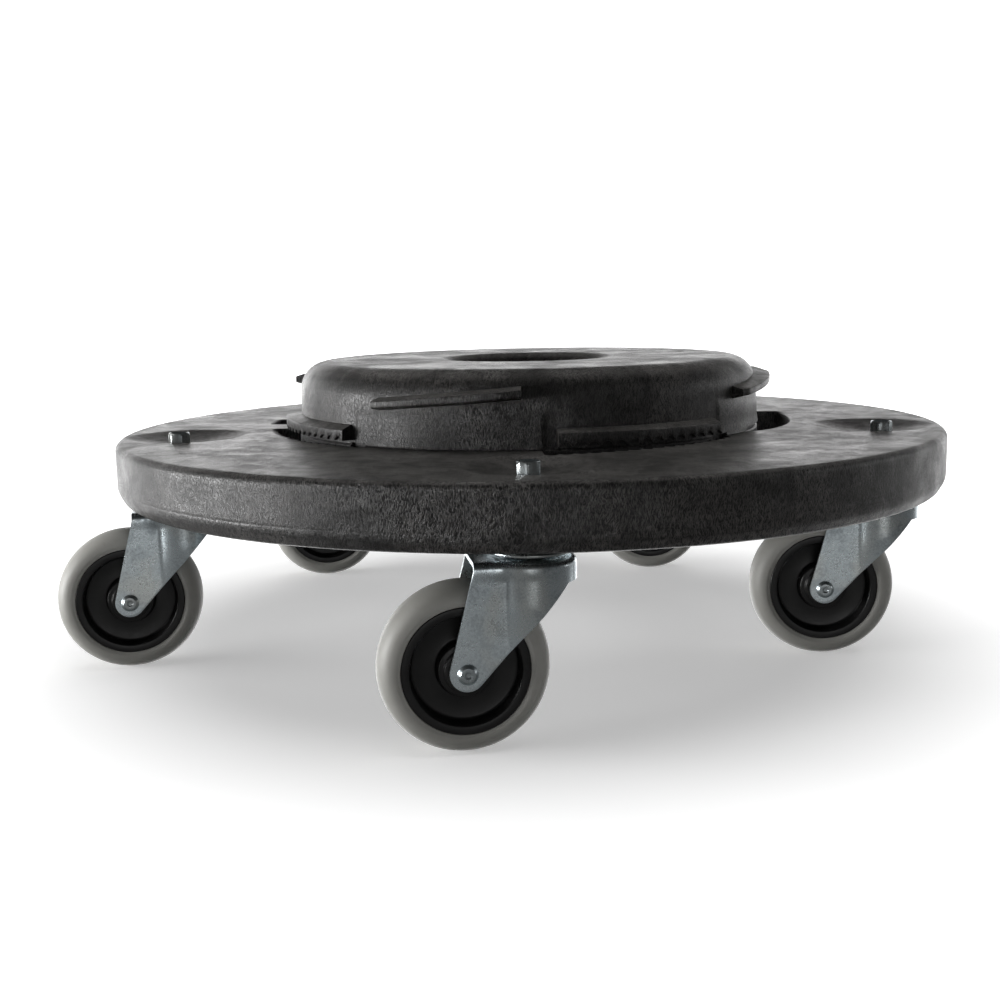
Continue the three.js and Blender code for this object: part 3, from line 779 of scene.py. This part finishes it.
def ear_touch(corner, side):
    """Where the line from the corner touches the round ear, on its lower (-1) or upper (1) side."""
    along = corner[0] + TRAIL
    up = corner[1] - WHEEL_RADIUS
    angle = math.atan2(up, along) + side * math.acos(EAR_RADIUS / math.hypot(along, up))
    return -TRAIL + EAR_RADIUS * math.cos(angle), WHEEL_RADIUS + EAR_RADIUS * math.sin(angle)


def leg_edge(x, corner, side):
    """The height of the leg's lower (-1) or upper (1) edge at a place along the fork. The edge is
    level as far as the corner, runs straight down to the ear, and then goes round it."""
    touch = ear_touch(corner, side)
    if x >= corner[0]:
        return corner[1]
    if x >= touch[0]:
        return touch[1] + (corner[1] - touch[1]) * (x - touch[0]) / (corner[0] - touch[0])
    return WHEEL_RADIUS + side * math.sqrt(max(EAR_RADIUS ** 2 - (x + TRAIL) ** 2, 0))


def bulge(x, softness):
    """How far the round crown stands out past the flat legs, fading softly to nothing."""
    out = math.sqrt(max(CROWN_RADIUS ** 2 - x * x, 0)) - FORK_HALF
    return (out + math.sqrt(out * out + softness * softness)) / 2


def leg_half_width(x, z):
    """Half the fork's width on the legs: flat pressed panels below, the round crown above."""
    crown = bulge(x, CROWN_SOFTNESS)
    step = LEG_STEP_SHARE + (1 - LEG_STEP_SHARE) * smoothstep(LEG_STEP_LOW, LEG_STEP_HIGH, z)
    panel = bulge(x, LEG_SOFTNESS) * step
    share = smoothstep(LEG_PANEL_TOP, CROWN_WALL_FROM, z)
    return FORK_HALF + panel + (crown - panel) * share


def fork_columns():
    """Places along one side of the fork, as x: round the crown, along the side and over the ear."""
    first = math.acos(ARC_START / CROWN_RADIUS)
    steps = 26
    arc = [CROWN_RADIUS * math.cos(first * k / steps) for k in range(steps)]
    side = list(np.linspace(ARC_START, CROWN_BACK, steps))
    ear_length = TRAIL + EAR_RADIUS + CROWN_BACK
    ear_steps = 16
    ear = [CROWN_BACK - ear_length * math.sin(math.pi / 2 * k / ear_steps)
           for k in range(1, ear_steps + 1)]
    return arc + side + ear


def fork_wall_point(x, z):
    """A point on the outer skin of one leg, at its place along the fork and its height."""
    if x > ARC_START:
        full = math.sqrt(CROWN_RADIUS ** 2 - x * x)
        side = leg_half_width(ARC_START, z) / math.sqrt(CROWN_RADIUS ** 2 - ARC_START ** 2)
        share = smoothstep(ARC_START, ARC_BLENDED, x)
        return x, full * (side + (1 - side) * share), z
    return x, leg_half_width(x, z), z


def crown_rows(x, y):
    """Points from the wall's top over the bend and across the crown to the kingpin hole."""
    out = Vector((x, y))
    if x < ARC_START:
        normal = Vector((0, math.copysign(1, y)))
    else:
        normal = out.normalized()
    points = []
    for k in range(1, BEND_ROWS + 1):
        angle = math.pi / 2 * k / BEND_ROWS
        place = out - normal * FORK_BEND * (1 - math.cos(angle))
        points.append((place.x, place.y, CROWN_TOP - FORK_BEND * (1 - math.sin(angle))))
    return points + plate_rows(*points[-1][:2])


def plate_rows(x, y):
    """Points across the flat of the crown, with the ball track pressed into it."""
    edge = Vector((x, y))
    hole = edge.normalized() * KINGPIN_HOLE
    points = []
    for k in range(1, PLATE_ROWS + 1):
        place = edge.lerp(hole, k / PLATE_ROWS)
        track = math.exp(-((place.length - BALL_TRACK_RADIUS) / BALL_TRACK_WIDTH) ** 2)
        points.append((place.x, place.y, CROWN_TOP - BALL_TRACK_DEPTH * track))
    return points


def add_grid(points, faces, columns):
    """Adds columns of points, all of one length, with the faces between them."""
    offset = len(points)
    points += [point for column in columns for point in column]
    faces += [tuple(i + offset for i in face) for face in grid_faces(len(columns), len(columns[0]))]


def fork_sheet():
    """Points and faces of the fork's outer skin: down one leg, over the crown, down the other."""
    half = []
    for x in fork_columns():
        low = leg_edge(x, (CROWN_LIP_START, CROWN_LIP), -1)
        high = leg_edge(x, (CROWN_BACK, CROWN_TOP - FORK_BEND), 1)
        half.append([fork_wall_point(x, low + (high - low) * k / (WALL_ROWS - 1))
                     for k in range(WALL_ROWS)])
    mirrored = [[(x, -y, z) for x, y, z in column] for column in half]
    walls = mirrored[:0:-1] + half
    # The crown starts from the top of every column that has one, and closes along its back edge.
    tops = [column[-1] for column in walls if column[-1][0] >= CROWN_BACK - 1e-6]
    crown = [[top] + crown_rows(top[0], top[1]) for top in tops]
    back_from = Vector(crown[-1][BEND_ROWS])
    back_to = Vector(crown[0][BEND_ROWS])
    edges = [back_from.lerp(back_to, share) for share in np.linspace(0, 1, 25)]
    back = [[tuple(edge)] + plate_rows(edge.x, edge.y) for edge in edges]
    points = []
    faces = []
    for columns in (walls, crown, back):
        add_grid(points, faces, columns)
    return points, faces


def build_fork_mesh():
    """The pressed fork: its skin made into a sheet, with holes for the axle and soft edges."""
    fork = new_object("fork_pattern", *fork_sheet())
    solidify = fork.modifiers.new("sheet", "SOLIDIFY")
    solidify.thickness = SHEET * MM
    solidify.offset = -1
    solidify.use_even_offset = True
    apply_modifiers(fork)
    reach = 2 * FORK_HALF
    points, faces = flared_prism(disc_outline(0, 0, AXLE_HOLE, 24), -reach, reach, FINE_LIP)
    hole = new_object("axle_hole", laid_over(points) + (-TRAIL, 0, WHEEL_RADIUS), faces)
    combine(fork, hole, "DIFFERENCE")
    bevel(fork, FORK_EDGE_ROUND, 55)
    shade(fork, 50)
    return fork


# ---- Wheel ----

def tyre_profile():
    """A crowned tread and round shoulders in one curve, running into nearly flat sides."""
    steps = 40
    tread = []
    for k in range(steps + 1):
        angle = math.pi * (k / steps - 0.5)
        across = math.copysign(abs(math.sin(angle)) ** (2 / TYRE_POWER), angle)
        drop = 1 - abs(math.cos(angle)) ** (2 / TYRE_POWER)
        tread.append((WHEEL_RADIUS - TYRE_SHOULDER * drop, TYRE_HALF * across))
    lip = CORE_RADIUS + TYRE_LIP
    shoulder = tread[0][0]
    side = [(CORE_RADIUS - 0.05, TYRE_SIDE - 0.5)]
    for share in np.linspace(0, 1, 7)[:-1]:
        side.append((lip + (shoulder - lip) * share,
                     TYRE_SIDE + (TYRE_HALF - TYRE_SIDE) * share ** 1.5))
    return np.array([(radius, -z) for radius, z in side] + tread + side[::-1])


def both_ends(half):
    """A closed profile from (radius, z, round) corners of its upper end, given from the axis out."""
    lower = [(radius, -z, rounding) for radius, z, rounding in half]
    return rounded(lower + half[::-1], steps=4)


def core_profile():
    """The black wheel core: rim, recessed web and a stepped boss, all with soft edges."""
    return both_ends([
        (CORE_BORE, CORE_FACE, 0.3),
        (CORE_BOSS, CORE_FACE, 0.6),
        (CORE_BOSS + 0.3, CORE_STEP_FACE + 0.2, 0.4),
        (CORE_STEP, CORE_STEP_FACE, 0.7),
        (CORE_WEB_FROM, CORE_WEB_FACE, 1.2),
        (CORE_WEB_TO, CORE_WEB_FACE + 0.4, 1.5),
        (CORE_RIM_FROM, CORE_FACE - 0.1, 0.7),
        (CORE_RADIUS, CORE_FACE, 0.5),
    ])


def axle_profile():
    """The rivet: a plain shank with a low cone head and a dimple at each end."""
    end = AXLE_SEAT + AXLE_HEAD_HEIGHT
    return both_ends([
        (0, end - AXLE_DIMPLE_DEPTH, 0),
        (AXLE_DIMPLE_FLOOR, end - AXLE_DIMPLE_DEPTH, 0.2),
        (AXLE_DIMPLE, end, 0.15),
        (AXLE_HEAD_TOP, end, 0.35),
        (AXLE_HEAD, AXLE_SEAT + 0.35, 0.25),
        (AXLE_HEAD, AXLE_SEAT - 0.1, 0.15),
        (AXLE_SHANK, AXLE_SEAT - 0.1, 0),
    ])


def build_wheel_meshes():
    """The tyre, the core and the axle, each turned about the wheel's own axis."""
    patterns = {}
    for kind, profile, segments, sharp in (("tyre", tyre_profile(), 160, 40),
                                           ("wheel_core", core_profile(), 128, 30),
                                           ("axle", axle_profile(), 48, 40)):
        points, faces = revolved(profile, segments)
        patterns[kind] = new_object(f"{kind}_pattern", laid_over(points), faces, sharp)
    return patterns


# ---- Bolt and race ----

def build_bolt_mesh():
    """A hex head with a thin rolled rim round its hollow top, over a plain shank."""
    top = BOLT_HIGH.z
    bottom = top - BOLT_HEAD_HEIGHT
    segments = 96
    angles = np.arange(segments) * 2 * math.pi / segments
    turn = angles % (math.pi / 3) - math.pi / 6
    hexagon = np.minimum(BOLT_FLATS / 2 / np.cos(turn), BOLT_CORNER_LIMIT)
    rings = [
        (BOLT_RIM * 0.05, top - 0.75),
        (BOLT_RIM * 0.66, top - 0.7),
        (BOLT_RIM * 0.80, top - 0.1),
        (BOLT_RIM * 0.88, top),
        (BOLT_RIM * 0.97, top - 0.15),
        (BOLT_RIM, top - 0.5),
        (BOLT_RIM * 0.99, top - 0.8),
        (hexagon, top - 1.3),
        (hexagon, bottom),
        (BOLT_SHANK, bottom),
        (BOLT_SHANK, BOLT_LOW.z + BOLT_CHAMFER),
        (BOLT_SHANK - BOLT_CHAMFER, BOLT_LOW.z),
        (0, BOLT_LOW.z),
    ]
    points = [(radius * math.cos(angle), radius * math.sin(angle), height)
              for ring, height in rings for radius, angle in zip(np.broadcast_to(ring, segments), angles)]
    faces = grid_faces(len(rings), segments, False, True)
    faces.append(tuple(range(segments)))
    return new_object("bolt_pattern", points, faces, 30)


def build_race_mesh():
    """The pressed upper race, with the rolled lip that shows under the deck."""
    radius = (RACE_HIGH.x - RACE_LOW.x) / 2
    low, top = RACE_LOW.z, RACE_HIGH.z
    profile = rounded([
        (RACE_HOLE, top - RACE_SHEET, 0.3),
        (RACE_INNER, top - RACE_SHEET, 1.0),
        (RACE_WALL, low + 0.2, 0.25),
        (radius, low, 0.5),
        (radius, low + RACE_LIP, 0.5),
        (RACE_WALL + 0.3, top, 1.0),
        (RACE_HOLE, top, 0.3),
    ])
    return new_object("race_pattern", *revolved(profile, 96), 40)


# ---- Materials ----

class Nodes:
    """Adds nodes to a tree with short calls. Lengths in the shaders are in metres."""

    def __init__(self, tree):
        self.tree = tree

    def add(self, kind, **values):
        node = self.tree.nodes.new(kind)
        for key, value in values.items():
            setattr(node, key, value)
        return node

    def put(self, socket, value):
        if isinstance(value, bpy.types.NodeSocket):
            self.tree.links.new(value, socket)
        else:
            socket.default_value = value

    def math(self, operation, *values):
        node = self.add("ShaderNodeMath", operation=operation)
        for socket, value in zip(node.inputs, values):
            self.put(socket, value)
        return node.outputs[0]

    def plus(self, first, second):
        return self.math("ADD", first, second)

    def minus(self, first, second):
        return self.math("SUBTRACT", first, second)

    def times(self, first, second):
        return self.math("MULTIPLY", first, second)

    def distance(self, x, y):
        return self.math("SQRT", self.plus(self.times(x, x), self.times(y, y)))

    def vector(self, x, y, z):
        node = self.add("ShaderNodeCombineXYZ")
        for socket, value in zip(node.inputs, (x, y, z)):
            self.put(socket, value)
        return node.outputs[0]

    def parts(self, vector):
        node = self.add("ShaderNodeSeparateXYZ")
        self.put(node.inputs[0], vector)
        return node.outputs

    def noise(self, vector, scale, detail=2.0, rough=0.5, warp=0.0):
        node = self.add("ShaderNodeTexNoise")
        self.put(node.inputs["Vector"], vector)
        node.inputs["Scale"].default_value = scale
        node.inputs["Detail"].default_value = detail
        node.inputs["Roughness"].default_value = rough
        node.inputs["Distortion"].default_value = warp
        return node.outputs["Fac"]

    def shifted(self, vector, by):
        node = self.add("ShaderNodeVectorMath", operation="ADD")
        self.put(node.inputs[0], vector)
        self.put(node.inputs[1], by)
        return node.outputs[0]

    def spread(self, value, low, high, new_low=0.0, new_high=1.0, smooth=True):
        node = self.add("ShaderNodeMapRange")
        node.interpolation_type = "SMOOTHSTEP" if smooth else "LINEAR"
        for socket, number in zip(node.inputs, (value, low, high, new_low, new_high)):
            self.put(socket, number)
        return node.outputs[0]

    def mix(self, share, first, second):
        node = self.add("ShaderNodeMix", data_type="RGBA")
        self.put(node.inputs[0], share)
        self.put(node.inputs[6], first)
        self.put(node.inputs[7], second)
        return node.outputs[2]

    def bump(self, height, distance, strength=1.0):
        node = self.add("ShaderNodeBump")
        self.put(node.inputs["Height"], height)
        node.inputs["Distance"].default_value = distance
        node.inputs["Strength"].default_value = strength
        return node.outputs["Normal"]


class Shader(Nodes):
    """A new material with one surface."""

    def __init__(self, name):
        self.material = bpy.data.materials.new(name)
        self.material.use_nodes = True
        super().__init__(self.material.node_tree)
        self.surface = self.tree.nodes["Principled BSDF"]
        self.coordinates = self.add("ShaderNodeTexCoord").outputs["Object"]

    def set(self, **values):
        names = {"color": "Base Color", "roughness": "Roughness", "metallic": "Metallic",
                 "normal": "Normal", "specular": "Specular IOR Level"}
        for key, value in values.items():
            self.put(self.surface.inputs[names[key]], value)
        return self.material


def grey(value, warmth=0.0):
    """A linear grey, warmer with a positive warmth."""
    return (value * (1 + warmth), value, value * (1 - warmth), 1)


def hairs(s, across, along, depth, lean, seed):
    """Crisp hair-like streaks in a surface, about 0.4 mm wide and a few millimetres long."""
    slanted = s.plus(across, s.times(along, lean))
    stretched = s.vector(s.times(slanted, 1 / HAIR_WIDTH), s.times(along, 1 / HAIR_LENGTH),
                         s.times(depth, 1 / HAIR_LENGTH))
    field = s.noise(s.shifted(stretched, (seed, 2 * seed, 3 * seed)), 1, detail=2, rough=0.6)
    return s.spread(field, 0.53, 0.63)


def crossed_hairs(s, across, along, depth, first, second):
    """Two sets of hairs across one another, each given as (lean, seed)."""
    return s.math("MAXIMUM", hairs(s, across, along, depth, *first),
                  hairs(s, across, along, depth, *second))


def deck_plastic():
    """Charcoal foam moulding: pale hair-like flow marks in patches, on a near-black skin that is
    paler where it faces up, as painted light from above."""
    s = Shader("deck_plastic_look")
    place = s.coordinates
    x, y, z = s.parts(place)
    radius = s.distance(x, y)
    around = s.times(s.math("ARCTAN2", x, s.times(y, -1)), radius)
    drift = s.minus(s.noise(place, 40, detail=3), 0.5)
    bent = s.plus(around, s.times(drift, 0.012))
    wall = crossed_hairs(s, bent, z, radius, (0.15, 1), (-0.25, 5))
    curl = s.minus(s.noise(s.shifted(place, (4, 1, 8)), 22, detail=3), 0.5)
    bent_y = s.plus(y, s.times(curl, 0.05))
    flat = crossed_hairs(s, bent_y, x, z, (0.3, 9), (-0.7, 13))
    facing = s.parts(s.add("ShaderNodeNewGeometry").outputs["Normal"])[2]
    up = s.spread(facing, 0.55, 0.9)
    streaks = s.plus(s.times(wall, s.minus(1, up)), s.times(flat, s.times(up, 0.5)))
    grain = s.spread(s.noise(place, 1000, detail=3, rough=0.65), 0.50, 0.64)
    patches = s.noise(s.shifted(place, (3, 7, 1)), 26, detail=4, rough=0.6, warp=0.6)
    patches = s.spread(patches, 0.36, 0.64)
    smoke = s.noise(s.shifted(place, (9, 2, 5)), 70, detail=4, rough=0.6, warp=0.8)
    smoke = s.spread(smoke, 0.35, 0.7)
    skin = s.mix(s.times(smoke, 0.8), grey(0.003, 0.04), grey(0.008, 0.05))
    # Painted light: skin and marks that face up are paler, standing in for the overhead light and sheen
    # on the tops.
    painted_top_light = s.mix(smoke, grey(0.022, 0.04), grey(0.06, 0.04))
    base = s.mix(up, skin, painted_top_light)
    mark = s.mix(up, grey(0.065, 0.06), grey(0.24, 0.04))
    density = s.spread(patches, 0, 1, 0.25, 1.0, smooth=False)
    marks = s.math("MAXIMUM", streaks, s.times(grain, 0.6))
    color = s.mix(s.times(marks, density), base, mark)
    rough = s.spread(s.plus(smoke, patches), 0, 2, 0.46, 0.28, smooth=False)
    height = s.plus(s.times(marks, 0.6), s.times(smoke, 0.15))
    return s.set(color=color, roughness=rough, normal=s.bump(height, 0.0002), specular=0.38)


def core_plastic():
    """Black satin moulding with a fine grain."""
    s = Shader("core_plastic_look")
    grain = s.noise(s.coordinates, 900, detail=3, rough=0.6)
    cloud = s.noise(s.coordinates, 90, detail=3)
    color = s.mix(s.spread(cloud, 0.35, 0.7), grey(0.004), grey(0.008, 0.02))
    rough = s.spread(s.plus(grain, cloud), 0.6, 1.4, 0.28, 0.44, smooth=False)
    return s.set(color=color, roughness=rough, normal=s.bump(grain, 0.00004, 0.5))


def tyre_rubber():
    """Pale warm-grey rubber with a faint cloud, a fine grain and a little dust."""
    s = Shader("tyre_rubber_look")
    cloud = s.noise(s.coordinates, 55, detail=4, rough=0.55)
    grain = s.noise(s.coordinates, 1500, detail=2, rough=0.6)
    dust = s.spread(s.noise(s.coordinates, 240, detail=4, rough=0.65), 0.55, 0.8)
    color = s.mix(s.spread(cloud, 0.3, 0.7), (0.275, 0.272, 0.252, 1), (0.312, 0.308, 0.288, 1))
    color = s.mix(s.times(dust, 0.25), color, (0.21, 0.205, 0.185, 1))
    rough = s.spread(s.plus(cloud, grain), 0.6, 1.4, 0.42, 0.6, smooth=False)
    return s.set(color=color, roughness=rough, normal=s.bump(grain, 0.00003, 0.4))


def zinc_steel(name, bright, mottle, shadowed):
    """Zinc-plated steel: a mottled spangle, cool with straw patches, and painted shade that darkens it up
    by the crown.
    """
    s = Shader(name)
    z = s.parts(s.coordinates)[2]
    spangle = s.noise(s.coordinates, 900, detail=4, rough=0.66)
    broad = s.noise(s.coordinates, 95, detail=4, rough=0.6, warp=0.5)
    tint = s.spread(s.noise(s.shifted(s.coordinates, (2, 5, 3)), 38), 0.48, 0.66)
    cool = (bright * 0.88, bright * 0.97, bright, 1)
    straw = (bright * 0.98, bright * 0.96, bright * 0.86, 1)
    dark = (bright * 0.16, bright * 0.19, bright * 0.22, 1)
    color = s.mix(s.times(tint, 0.4), cool, straw)
    mixed = s.plus(s.times(spangle, 0.45), s.times(broad, 0.55))
    # Painted shade: the steel is darker higher up, near the crown, standing in for the dark reflection
    # there.
    painted_crown_shade = s.times(s.spread(z, 0.040, 0.084), shadowed)
    share = s.plus(s.times(s.spread(mixed, 0.44, 0.62), mottle), painted_crown_shade)
    color = s.mix(s.math("MINIMUM", share, 0.85), color, dark)
    rough = s.spread(mixed, 0.38, 0.62, 0.22, 0.42, smooth=False)
    return s.set(color=color, roughness=rough, metallic=1, normal=s.bump(mixed, 0.0001, 0.6))


def nylon():
    """Milky white nylon, for the bushings."""
    s = Shader("nylon_look")
    cloud = s.noise(s.coordinates, 200, detail=3)
    color = s.mix(cloud, grey(0.60, 0.06), grey(0.70, 0.05))
    rough = s.spread(cloud, 0.3, 0.7, 0.35, 0.5)
    return s.set(color=color, roughness=rough, normal=s.bump(cloud, 0.00003))


def use(piece, material):
    """Gives the piece its material."""
    piece.data.materials.clear()
    piece.data.materials.append(material)


# ---- Assembly ----

def caster_matrix(name):
    """Places the caster's own frame: the swivel axis at floor level, the wheel towards -X."""
    swivel = Vector(JOINTS[f"swivel_{name}_turn"]["pos_m"])
    wheel = Vector(JOINTS[f"wheel_{name}_spin"]["pos_m"])
    ahead = swivel - wheel
    heading = math.atan2(ahead.y, ahead.x)
    place = Matrix.Translation((swivel.x, swivel.y, 0))
    return place @ Matrix.Rotation(heading, 4, "Z")


def place_copy(pattern, node, body, matrix, material):
    """A copy of a pattern piece, standing for one CAD node, with its place in its own mesh."""
    mesh = pattern.data.copy()
    mesh.transform(matrix)
    piece = linked(f"{node}_fine", mesh)
    use(piece, material)
    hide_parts(node)
    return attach(piece, body)


def dress_casters(deck_body):
    """Fine pieces for every caster. The pieces inside it keep their CAD shapes."""
    bright = zinc_steel("bright_steel_look", 0.62, 0.30, 0.0)
    zinc = zinc_steel("zinc_steel_look", 1.0, 0.33, 0.38)
    rubber = tyre_rubber()
    black = core_plastic()
    white = nylon()
    patterns = build_wheel_meshes()
    patterns["fork"] = build_fork_mesh()
    patterns["bolt"] = build_bolt_mesh()
    patterns["top_race"] = build_race_mesh()
    wheel_offset = Matrix.Translation((-TRAIL * MM, 0, WHEEL_RADIUS * MM))
    for name in CASTERS:
        base = caster_matrix(name)
        hub = base @ wheel_offset
        swivel, wheel = f"swivel_{name}", f"wheel_{name}"
        bolt_turn = Matrix.Rotation(math.radians(BOLT_TURN.get(name, 0)), 4, "Z")
        upright = Matrix.Translation(base.translation) @ bolt_turn
        for kind, body, matrix, material, slot in (
                ("fork", swivel, base, zinc, "zinc_steel"),
                ("axle", swivel, hub, bright, "bolt_steel"),
                ("wheel_core", wheel, hub, black, "core_plastic"),
                ("tyre", wheel, hub, rubber, "tyre_rubber"),
                ("bolt", deck_body, upright, bright, "bolt_steel"),
                ("top_race", deck_body, base, bright, "bolt_steel")):
            place_copy(patterns[kind], f"{kind}_{name}", body, matrix, material)
        inner = (("kingpin", zinc), ("nut", zinc), ("ball_ring", bright), ("bushing", white))
        for kind, material in inner:
            cad = frame["nodes"][f"{kind}_{name}"]
            cad.data.materials.clear()
            cad.data.materials.append(material)
    for pattern in patterns.values():
        bpy.data.objects.remove(pattern)


def dress_deck(deck_body):
    deck = build_deck()
    use(deck, deck_plastic())
    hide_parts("deck")
    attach(deck, deck_body)


# ---- Stage ----

def stage_floor():
    """A pale floor that takes a soft shadow from the lamps, and glows to plain white further away; the
    weaker glow near the dolly paints the shadow's fade. From below it can't be seen, so that the
    underside can."""
    size = FLOOR_SIZE
    mesh = bpy.data.meshes.new("floor")
    corners = [(-size, -size, 0), (size, -size, 0), (size, size, 0), (-size, size, 0)]
    mesh.from_pydata(corners, [], [(0, 1, 2, 3)])
    floor = linked("floor", mesh)
    s = Shader("floor_look")
    x, y, _ = s.parts(s.coordinates)
    seen = s.add("ShaderNodeLightPath").outputs["Is Camera Ray"]
    # Partly painted shadow: the lamps cast it, and this camera-only glow lifts it and fades it to white
    # away from the dolly.
    far = s.spread(s.distance(x, y), FLOOR_WHITE_FROM, FLOOR_WHITE_TO)
    glow = s.times(seen, s.plus(FLOOR_GLOW, far))
    surface = s.surface.inputs
    surface["Base Color"].default_value = (0.8, 0.8, 0.8, 1)
    surface["Specular IOR Level"].default_value = 0
    surface["Roughness"].default_value = 1
    surface["Emission Color"].default_value = (1, 1, 1, 1)
    s.put(surface["Emission Strength"], glow)
    below = s.add("ShaderNodeNewGeometry").outputs["Backfacing"]
    one_sided = s.add("ShaderNodeMixShader")
    s.put(one_sided.inputs[0], s.times(below, seen))
    s.put(one_sided.inputs[1], s.surface.outputs[0])
    s.put(one_sided.inputs[2], s.add("ShaderNodeBsdfTransparent").outputs[0])
    s.put(s.tree.nodes["Material Output"].inputs["Surface"], one_sided.outputs[0])
    mesh.materials.append(s.material)
    floor.visible_glossy = False


def stage_world():
    """White to the camera. To everything else a studio: a low band that is bright behind the dolly,
    most of all at the left, and dim in front of it, under a dark ceiling."""
    world = bpy.data.worlds.new("studio")
    bpy.context.scene.world = world
    world.use_nodes = True
    n = Nodes(world.node_tree)
    x, y, z = n.parts(n.add("ShaderNodeTexCoord").outputs["Generated"])
    side = n.spread(x, -0.9, 0.9, 1.0, 0.6)
    back = n.spread(y, 0.3, 0.93, 0.12, 3.9)
    low = n.spread(z, 0.08, 0.34, 1.0, 0.0)
    band = n.plus(n.times(n.times(side, back), low), CEILING_LIGHT)
    seen = n.add("ShaderNodeLightPath").outputs["Is Camera Ray"]
    value = n.plus(band, n.times(seen, BACKGROUND_GLOW))
    n.put(n.tree.nodes["Background"].inputs["Color"], n.vector(value, value, value))


def softbox(name, place, target, width, height, power):
    """A rectangular lamp, given in metres and watts."""
    light = bpy.data.lights.new(name, "AREA")
    light.shape = "RECTANGLE"
    light.size = width
    light.size_y = height
    light.energy = power
    lamp = linked(name, light)
    lamp.location = place
    lamp.rotation_euler = (Vector(target) - Vector(place)).to_track_quat("-Z", "Y").to_euler()


def stage_lights():
    """An overhead glow that leaves no highlights, and three softboxes that do."""
    sun = bpy.data.lights.new("overhead", "SUN")
    sun.energy = 1.5
    sun.angle = math.radians(65)
    lamp = linked("overhead", sun)
    lamp.rotation_euler = (math.radians(-6), math.radians(7), 0)
    lamp.visible_glossy = False
    softbox("left_softbox", (-1.3, -0.25, 0.10), (0, 0, 0.09), width=0.9, height=0.36, power=25)
    softbox("right_softbox", (1.5, 0.2, 0.35), (0, 0, 0.1), width=0.6, height=0.5, power=2)
    softbox("front_softbox", (0.24, -1.9, 0.12), (0, 0, 0.08), width=0.6, height=0.5, power=1.6)


def stage_camera():
    """The photograph's viewpoint: low, square on to the front caster, a little over the deck."""
    camera = bpy.data.cameras.new("camera")
    camera.lens = CAMERA_LENS
    camera.sensor_width = CAMERA_SENSOR
    camera.clip_end = CAMERA_FAR
    eye = linked("camera", camera)
    turn = Matrix.Rotation(-CAMERA_YAW, 4, "Z")
    turn @= Matrix.Rotation(math.pi / 2 - CAMERA_PITCH, 4, "X")
    turn @= Matrix.Rotation(CAMERA_ROLL, 4, "Z")
    eye.matrix_world = Matrix.Translation(CAMERA_PLACE) @ turn
    bpy.context.scene.camera = eye
    bpy.context.scene.view_settings.view_transform = "Standard"


dress_deck("deck_body")
dress_casters("deck_body")
stage_floor()
stage_world()
stage_lights()
stage_camera()
